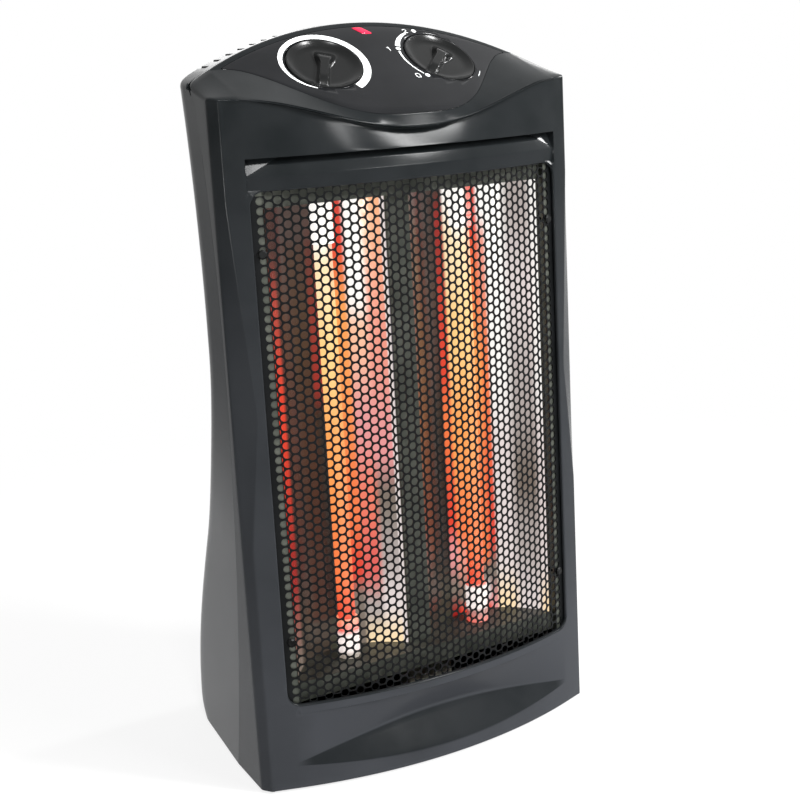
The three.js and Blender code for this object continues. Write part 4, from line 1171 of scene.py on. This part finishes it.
class Finish:
    """A material, with short calls for its nodes."""

    def __init__(self, name, **values):
        self.material = bpy.data.materials.new(name)
        self.material.use_nodes = True
        self.tree = self.material.node_tree
        self.tree.nodes.clear()
        self.shader = self.node("ShaderNodeBsdfPrincipled")
        self.output = self.node("ShaderNodeOutputMaterial")
        self.feed(self.output, "Surface", self.shader.outputs[0])
        self.place = self.node("ShaderNodeTexCoord").outputs["Object"]
        split = self.node("ShaderNodeSeparateXYZ")
        self.feed(split, 0, self.place)
        self.x, _, self.z = split.outputs
        for key, value in values.items():
            self.into(key.replace("_", " "), value)

    def node(self, kind):
        return self.tree.nodes.new(kind)

    def feed(self, target, key, value):
        """Gives a node's input a socket's value, an opaque colour or a number."""
        if isinstance(value, bpy.types.NodeSocket):
            self.tree.links.new(value, target.inputs[key])
        else:
            target.inputs[key].default_value = (*value, 1) if isinstance(value, tuple) else value

    def into(self, key, value):
        self.feed(self.shader, key, value)

    def emit(self, colour, strength):
        self.into("Emission Color", colour)
        self.into("Emission Strength", strength)

    def noise(self, scale, detail=2.0, stretch=None):
        texture = self.node("ShaderNodeTexNoise")
        self.feed(texture, "Scale", scale)
        self.feed(texture, "Detail", detail)
        place = self.place
        if stretch:
            mapping = self.node("ShaderNodeMapping")
            mapping.inputs["Scale"].default_value = stretch
            self.feed(mapping, 0, place)
            place = mapping.outputs[0]
        self.feed(texture, "Vector", place)
        return texture.outputs[0]

    def fit(self, value, low, high, to_low=0.0, to_high=1.0, curved=True):
        """Maps a range of values to another, eased at its ends when curved."""
        node = self.node("ShaderNodeMapRange")
        node.interpolation_type = "SMOOTHSTEP" if curved else "LINEAR"
        for key, number in (("From Min", low), ("From Max", high), ("To Min", to_low), ("To Max", to_high)):
            self.feed(node, key, number)
        self.feed(node, 0, value)
        return node.outputs[0]

    def times(self, first, second):
        return maths(self.tree, "MULTIPLY", first, second)

    def blend(self, factor, first, second):
        node = self.node("ShaderNodeMix")
        node.data_type = "RGBA"
        for key, value in ((0, factor), (6, first), (7, second)):
            self.feed(node, key, value)
        return node.outputs[2]

    def cloudy(self, dark, light, scale=26, detail=4, low=0.35):
        """Soft clouds between two colours."""
        return self.blend(self.fit(self.noise(scale, detail), low, 1 - low), dark, light)

    def uneven(self, low, high):
        """A roughness that wanders between two values."""
        self.into("Roughness", self.fit(self.noise(60, 3), 0.3, 0.7, low, high))

    def rise(self, *stops):
        """Colours up the object: heights in millimetres and their colours in turn."""
        heights, colours = stops[::2], stops[1::2]
        low, high = heights[0], heights[-1]
        node = self.node("ShaderNodeValToRGB")
        node.color_ramp.interpolation = "EASE"
        elements = node.color_ramp.elements
        while len(elements) < len(colours):
            elements.new(0.5)
        for element, height, colour in zip(elements, heights, colours):
            element.position = (height - low) / (high - low)
            element.color = (*colour, 1)
        self.feed(node, 0, self.fit(self.z, low / 1000, high / 1000, curved=False))
        return node.outputs[0]

    def strips(self, colour, *strips):
        """Colour strips side by side. Each starts at its edge, over a soft width, both in millimetres."""
        for edge, soft, following in strips:
            place = self.fit(self.x, (edge - soft) / 1000, (edge + soft) / 1000)
            colour = self.blend(place, colour, following)
        return colour

    def bump(self, height, distance):
        node = self.node("ShaderNodeBump")
        self.feed(node, "Strength", 1.0)
        self.feed(node, "Distance", distance)
        self.feed(node, "Height", height)
        self.into("Normal", node.outputs[0])


def moulded(name, dark, light, rough, level, grain, depth):
    """Moulded plastic: faint cloudiness, uneven gloss and a fine grain, whose depth is in microns."""
    finish = Finish(name, Specular_IOR_Level=level)
    finish.into("Base Color", finish.cloudy(dark, light))
    finish.uneven(rough - 0.03, rough + 0.04)
    finish.bump(finish.noise(grain), depth * MICRON)
    return finish.material


def case_plastic():
    """Satin black plastic with a painted paler sheen that stands in for light reflected off the floor:
    stronger towards the floor and where it faces down, weaker where it faces up.
    """
    finish = Finish("case_plastic", Specular_IOR_Level=0.06)
    plain_black = finish.cloudy((0.0065, 0.0078, 0.0084), (0.0095, 0.0108, 0.0116))
    # Painted light: a paler colour stands in for the floor's light on the plastic, stronger low down and on
    # faces turned down.
    low = finish.fit(finish.z, 0.50, 0.02, curved=False)
    painted_floor_sheen = finish.times(low, finish.fit(finish.noise(9, 4), 0.2, 0.8, 0.7, 1.2))
    facing = finish.node("ShaderNodeSeparateXYZ")
    finish.feed(facing, 0, finish.node("ShaderNodeNewGeometry").outputs["Normal"])
    painted_floor_sheen = finish.times(painted_floor_sheen, finish.fit(facing.outputs[2], -0.4, 0.3, 2.2, 0.1, curved=False))
    # The painted sheen's colour, mixed over the plain black.
    finish.into("Base Color", finish.blend(painted_floor_sheen, plain_black, (0.029, 0.031, 0.035)))
    finish.uneven(0.165, 0.195)
    finish.bump(finish.noise(1500), 12 * MICRON)
    return finish.material


def metal(name, dark, light, rough, brushed, metallic=1.0):
    """Sheet or turned metal with fine marks along one way."""
    finish = Finish(name, Metallic=metallic)
    marks = finish.noise(420, 3, brushed)
    finish.into("Base Color", finish.cloudy(dark, light, 45, 3, 0.3))
    finish.into("Roughness", finish.fit(marks, 0.3, 0.7, rough - 0.08, rough + 0.1))
    finish.bump(marks, 20 * MICRON)
    return finish.material


def painted_reflector(name, colour_of):
    """A polished sheet whose emission paints, by place, the reflections of the glowing tubes and the shade
    between them; the sheet itself is no lamp.
    """
    finish = Finish(name, Metallic=0.8, Base_Color=tone(60, 58, 54))
    finish.into("Roughness", finish.fit(finish.noise(80), 0.3, 0.7, 0.15, 0.28))
    # Painted light: the emission stands in for the tubes' reflections and the shade on the trough.
    finish.emit(colour_of(finish), 1.0)
    return finish.material


WHITE = tone(252, 250, 246)
CREAM = tone(255, 226, 180)
YELLOW = tone(255, 205, 130)
AMBER = tone(252, 160, 80)
ORANGE = tone(246, 120, 62)
RED = tone(226, 58, 36)
DEEP_RED = tone(150, 26, 24)
SALMON = tone(240, 150, 130)
PEACH = tone(250, 190, 155)
PINK = tone(232, 150, 150)
PEARL = tone(228, 216, 214)
SILVER = tone(176, 166, 162)
TAUPE = tone(120, 108, 98)
BROWN = tone(58, 40, 36)
OLIVE = tone(58, 58, 48)
MOSS = tone(52, 54, 46)
# A near black for the painted shade on the troughs, behind the tubes.
PAINTED_SHADE = tone(14, 16, 15)


def left_painted_reflections(finish):
    """Painted reflections and shade on the left trough, from its outer edge to the flange."""
    rise = finish.rise
    outer = rise(85, TAUPE, 160, DEEP_RED, 300, RED, 370, tone(176, 60, 50), 420, BROWN)
    wall = rise(85, tone(66, 56, 48), 200, tone(50, 38, 34), 450, tone(58, 40, 38))
    behind = rise(85, OLIVE, 140, PAINTED_SHADE, 280, PAINTED_SHADE, 310, DEEP_RED, 450, BROWN)
    red = rise(85, TAUPE, 125, TAUPE, 150, RED, 200, ORANGE, 360, AMBER, 420, RED, 450, tone(206, 60, 46))
    pale = rise(85, CREAM, 115, SILVER, 150, tone(226, 92, 84), 210, tone(238, 120, 96), 270, PINK,
                345, PEACH, 375, WHITE, 450, WHITE)
    peach = rise(85, CREAM, 120, PEARL, 160, SILVER, 210, TAUPE, 250, PINK, 340, SALMON,
                 450, tone(250, 178, 132))
    flange = rise(85, OLIVE, 270, MOSS, 330, tone(70, 68, 76), 450, OLIVE)
    return finish.strips(outer, (-102, 3, wall), (-68.5, 2, behind), (-50, 2, red), (-37.2, 2.5, pale),
                         (-25, 3, peach), (-13.5, 0.6, PEARL), (-10.8, 0.6, flange))


def right_painted_reflections(finish):
    """Painted reflections and shade on the right trough, from the flange to its outer edge."""
    rise = finish.rise
    flange = rise(85, OLIVE, 270, MOSS, 330, tone(66, 64, 70), 450, OLIVE)
    wall = rise(85, tone(60, 50, 44), 200, tone(46, 36, 32), 450, tone(56, 40, 38))
    behind = rise(85, OLIVE, 150, PAINTED_SHADE, 260, PAINTED_SHADE, 310, tone(60, 34, 30), 450, tone(46, 30, 28))
    line = rise(85, DEEP_RED, 110, TAUPE, 140, PINK, 170, RED, 260, ORANGE, 300, RED, 420, DEEP_RED,
                450, BROWN)
    near = rise(85, RED, 100, TAUPE, 135, SALMON, 160, ORANGE, 240, AMBER, 330, YELLOW, 400, CREAM,
                450, WHITE)
    core = rise(85, RED, 100, PEARL, 118, TAUPE, 135, ORANGE, 200, ORANGE, 300, AMBER, 370, ORANGE,
                420, RED, 450, tone(212, 60, 40))
    edge = rise(85, PINK, 120, TAUPE, 150, RED, 300, ORANGE, 400, SALMON, 430, WHITE)
    wide = rise(85, CREAM, 130, PEARL, 220, PEARL, 300, WHITE, 450, WHITE)
    stripe = rise(85, PEARL, 150, SILVER, 200, TAUPE, 270, SILVER, 360, PEARL, 450, SILVER)
    return finish.strips(flange, (12.5, 2, wall), (30, 4, behind), (48, 1.5, line), (57, 2, near),
                         (70, 3, core), (86, 2, edge), (91.5, 1.5, wide), (104, 4, stripe), (116.5, 2, wide))


def lit_quartz(side):
    """A tube: white hot at its top, orange lower down, and dull over its cold end."""
    finish = Finish("quartz", Base_Color=tone(110, 90, 70), Roughness=0.15, Specular_IOR_Level=0.4, Alpha=0.8)
    hot = finish.rise(96, TAUPE, 114, PEARL, 119, RED, 160, ORANGE, 260, AMBER, 330, YELLOW, 400, CREAM,
                      425, WHITE, 450, WHITE)
    warm = finish.rise(96, TAUPE, 114, SILVER, 121, RED, 180, ORANGE, 300, AMBER, 360, YELLOW, 410, PEACH,
                       430, PEARL if side < 0 else RED)
    finish.emit(finish.strips(hot, (side * TUBE_OUT * 1000 + 0.5, 3, warm)), 1.0)
    finish.bump(finish.noise(300), 10 * MICRON)
    return finish.material


def glowing_wire():
    finish = Finish("glowing_wire", Base_Color=tone(120, 60, 40), Roughness=0.5)
    finish.emit(finish.rise(100, RED, 250, ORANGE, 350, YELLOW, 440, CREAM), 1.1)
    return finish.material


def red_lens():
    finish = Finish("red_lens", Roughness=0.12, Specular_IOR_Level=0.4)
    finish.into("Base Color", finish.blend(finish.noise(90), tone(176, 14, 48), tone(206, 30, 66)))
    finish.emit(tone(214, 20, 60), 0.35)
    finish.bump(finish.noise(500), 20 * MICRON)
    return finish.material


def ceramic_with_painted_glow(name, stops, *strips):
    """Ceramic with painted emission that stands in for the glow of the tube end; the cap itself is no lamp."""
    finish = Finish(name, Roughness=0.7, Specular_IOR_Level=0.4)
    finish.into("Base Color", finish.blend(finish.noise(60, 3), (0.30, 0.28, 0.25), (0.42, 0.40, 0.36)))
    finish.emit(finish.strips(finish.rise(*stops), *strips), 0.9)
    finish.bump(finish.noise(1200), 60 * MICRON)
    return finish.material


slots = {
    "case": case_plastic(),
    "panel": moulded("panel_film", (0.0070, 0.0074, 0.0082), (0.0090, 0.0094, 0.0104), 0.20, 0.12, 900, 4),
    "knob": moulded("knob_plastic", (0.0030, 0.0033, 0.0033), (0.0044, 0.0047, 0.0048), 0.20, 0.18, 700, 4),
    "shaft": metal("turned_brass", (0.40, 0.27, 0.08), (0.50, 0.36, 0.12), 0.30, (1, 1, 6)),
    "pale_resin": moulded("pale_resin", (0.62, 0.58, 0.48), (0.72, 0.69, 0.60), 0.45, 0.5, 900, 20),
    "dark_resin": moulded("dark_resin", (0.020, 0.016, 0.012), (0.034, 0.028, 0.022), 0.42, 0.5, 900, 20),
    "lens": red_lens(),
    "grille": moulded("baked_enamel", (0.002, 0.0024, 0.0026), (0.0036, 0.004, 0.0044), 0.42, 0.1, 1400, 10),
    "polished": painted_reflector("trough", left_painted_reflections),
    "zinc": metal("zinc_sheet", (0.050, 0.055, 0.045), (0.085, 0.090, 0.075), 0.45, (1, 1, 0.1), 0.6),
    "quartz": lit_quartz(-1),
    "coil": glowing_wire(),
    "ceramic": moulded("ceramic", (0.66, 0.62, 0.54), (0.80, 0.76, 0.68), 0.70, 0.4, 1200, 60),
    "rubber": moulded("rubber", (0.008, 0.008, 0.008), (0.014, 0.014, 0.014), 0.62, 0.35, 1600, 40),
    "screw": metal("zinc_plate", (0.38, 0.40, 0.40), (0.52, 0.53, 0.52), 0.28, (1, 1, 1)),
}
black_screw = metal("black_screw", (0.010, 0.010, 0.010), (0.025, 0.026, 0.026), 0.32, (1, 1, 1))
print_paint = moulded("print_paint", (0.70, 0.72, 0.72), (0.86, 0.88, 0.87), 0.45, 0.3, 800, 4)
# Painted glow on the caps, by height and across: light painted on parts that are no lamp.
upper_painted_glow = (418, WHITE, 449, WHITE, 451.5, OLIVE, 459, OLIVE)
left_foot_painted_glow = (78, TAUPE, 88, TAUPE, 92, PEARL, 104, PEARL, 110, RED, 118.6, ORANGE)
right_foot_painted_glow = (78, TAUPE, 85, RED, 95, DEEP_RED, 99, PEARL, 116, PEARL, 118.6, RED)
cap_finishes = {
    "cap_upper_left": ceramic_with_painted_glow("cap_a", upper_painted_glow),
    "cap_upper_right": ceramic_with_painted_glow("cap_b", upper_painted_glow, (TUBE_OUT * 1000, 2, RED)),
    "cap_lower_left": ceramic_with_painted_glow("cap_c", left_foot_painted_glow),
    "cap_lower_right": ceramic_with_painted_glow("cap_d", right_foot_painted_glow),
}


def dress(obj, material):
    if obj.material_slots:
        for row in obj.material_slots:
            row.material = material
    else:
        obj.data.materials.append(material)


for row in frame["record"]["subparts"]:
    dress(frame["nodes"][row["node"]], slots[row["material_slot"]])
for i in range(1, 5):
    dress(frame["nodes"][f"grille_screw_{i}"], black_screw)
for name, material in cap_finishes.items():
    dress(frame["nodes"][name], material)
for slot, group in (
    ("case", (front, rear, rim)),
    ("panel", (overlay, *wells)),
    ("knob", knobs),
    ("shaft", spindles),
    ("grille", [sheet]),
    ("lens", [lens]),
    ("coil", coils),
    ("polished", troughs[:1]),
    ("quartz", tubes[:1]),
):
    for obj in group:
        dress(obj, slots[slot])
for obj in prints:
    dress(obj, print_paint)
dress(troughs[1], painted_reflector("trough_right", right_painted_reflections))
dress(tubes[1], lit_quartz(1))


# Camera, floor and light
CAMERA_PLACE = Vector((-0.57649, -1.04914, 0.55753))
CAMERA_FORWARD = Vector((0.48606, 0.84340, -0.22897))
CAMERA_UP = Vector((0.16193, 0.17055, 0.97195))
CAMERA_LENS = 66.88
FLOOR_HALF = 8.0
FLOOR_WHITE = 0.8
FLOOR_NEAR = 0.15
FLOOR_FAR = 1.1
WORLD_LIGHT = 0.35
# Each lamp: name, place, the point it faces, its two sides, watts
LAMPS = (
    ("high_key", (0.97, -1.32, 1.74), (0, -0.1, 0.5), (0.32, 0.62), 64),
    ("low_key", (0.80, -1.78, 1.19), (0, -0.1, 0.5), (0.80, 0.14), 24),
    ("front_light", (-0.53, -1.44, 1.90), (-0.1, -0.1, 0.5), (0.26, 0.26), 24),
    ("right_light", (1.99, -0.17, 1.19), (0.1, -0.1, 0.5), (0.26, 0.26), 26),
    ("ridge_light", (-1.50, -1.43, 0.27), (-0.12, -0.1, 0.42), (0.12, 0.12), 9),
    ("roof_light", (0.97, 1.75, 1.12), (0, 0, 0.58), (1.2, 0.45), 4.5),
)


def add_camera():
    camera = link_object("camera", bpy.data.cameras.new("camera"))
    back = -CAMERA_FORWARD.normalized()
    right = CAMERA_UP.cross(back).normalized()
    turn = Matrix((right, back.cross(right), back)).transposed()
    camera.matrix_world = Matrix.Translation(CAMERA_PLACE) @ turn.to_4x4()
    camera.data.lens = CAMERA_LENS
    camera.data.sensor_width = 36
    bpy.context.scene.camera = camera


def seen_rays(tree):
    """1 for camera, glossy and transmission rays, 0 for the rest."""
    path = tree.nodes.new("ShaderNodeLightPath")
    value = path.outputs["Is Camera Ray"]
    for key in ("Is Glossy Ray", "Is Transmission Ray"):
        value = maths(tree, "MAXIMUM", value, path.outputs[key])
    return value


def add_floor():
    """A white floor that shows as the background does, with the object's soft shadow."""
    mesh = bpy.data.meshes.new("floor")
    corners = [(x * FLOOR_HALF, y * FLOOR_HALF, 0) for x, y in ((-1, -1), (1, -1), (1, 1), (-1, 1))]
    mesh.from_pydata(corners, [], [(0, 1, 2, 3)])
    floor = link_object("floor", mesh)
    finish = Finish("floor", Roughness=0.9)
    finish.into("Base Color", finish.blend(finish.noise(3), (0.90, 0.90, 0.90), (0.92, 0.92, 0.92)))
    reach = finish.node("ShaderNodeVectorMath")
    reach.operation = "LENGTH"
    finish.feed(reach, 0, finish.place)
    far = finish.fit(reach.outputs["Value"], FLOOR_NEAR, FLOOR_FAR, FLOOR_WHITE, 1.0)
    mix = finish.node("ShaderNodeMixShader")
    finish.feed(mix, 0, finish.times(far, seen_rays(finish.tree)))
    finish.feed(mix, 1, finish.shader.outputs[0])
    finish.feed(mix, 2, finish.node("ShaderNodeEmission").outputs[0])
    finish.feed(finish.output, "Surface", mix.outputs[0])
    mesh.materials.append(finish.material)


def add_world():
    """A white background, dimmer where it only lights the object."""
    world = bpy.data.worlds.new("studio")
    bpy.context.scene.world = world
    world.use_nodes = True
    tree = world.node_tree
    tree.nodes.clear()
    mix = tree.nodes.new("ShaderNodeMixShader")
    tree.links.new(seen_rays(tree), mix.inputs[0])
    for key, strength in ((1, WORLD_LIGHT), (2, 1.0)):
        node = tree.nodes.new("ShaderNodeBackground")
        node.inputs["Color"].default_value = (1, 1, 1, 1)
        node.inputs["Strength"].default_value = strength
        tree.links.new(node.outputs[0], mix.inputs[key])
    output = tree.nodes.new("ShaderNodeOutputWorld")
    tree.links.new(mix.outputs[0], output.inputs[0])


def add_lamp(name, place, target, size, power):
    lamp = bpy.data.lights.new(name, "AREA")
    lamp.shape = "RECTANGLE"
    lamp.size, lamp.size_y = size
    lamp.energy = power
    obj = link_object(name, lamp)
    obj.location = place
    obj.rotation_euler = (Vector(target) - Vector(place)).to_track_quat("-Z", "Y").to_euler()


add_camera()
add_floor()
add_world()
for lamp in LAMPS:
    add_lamp(*lamp)
bpy.context.scene.view_settings.view_transform = "Standard"
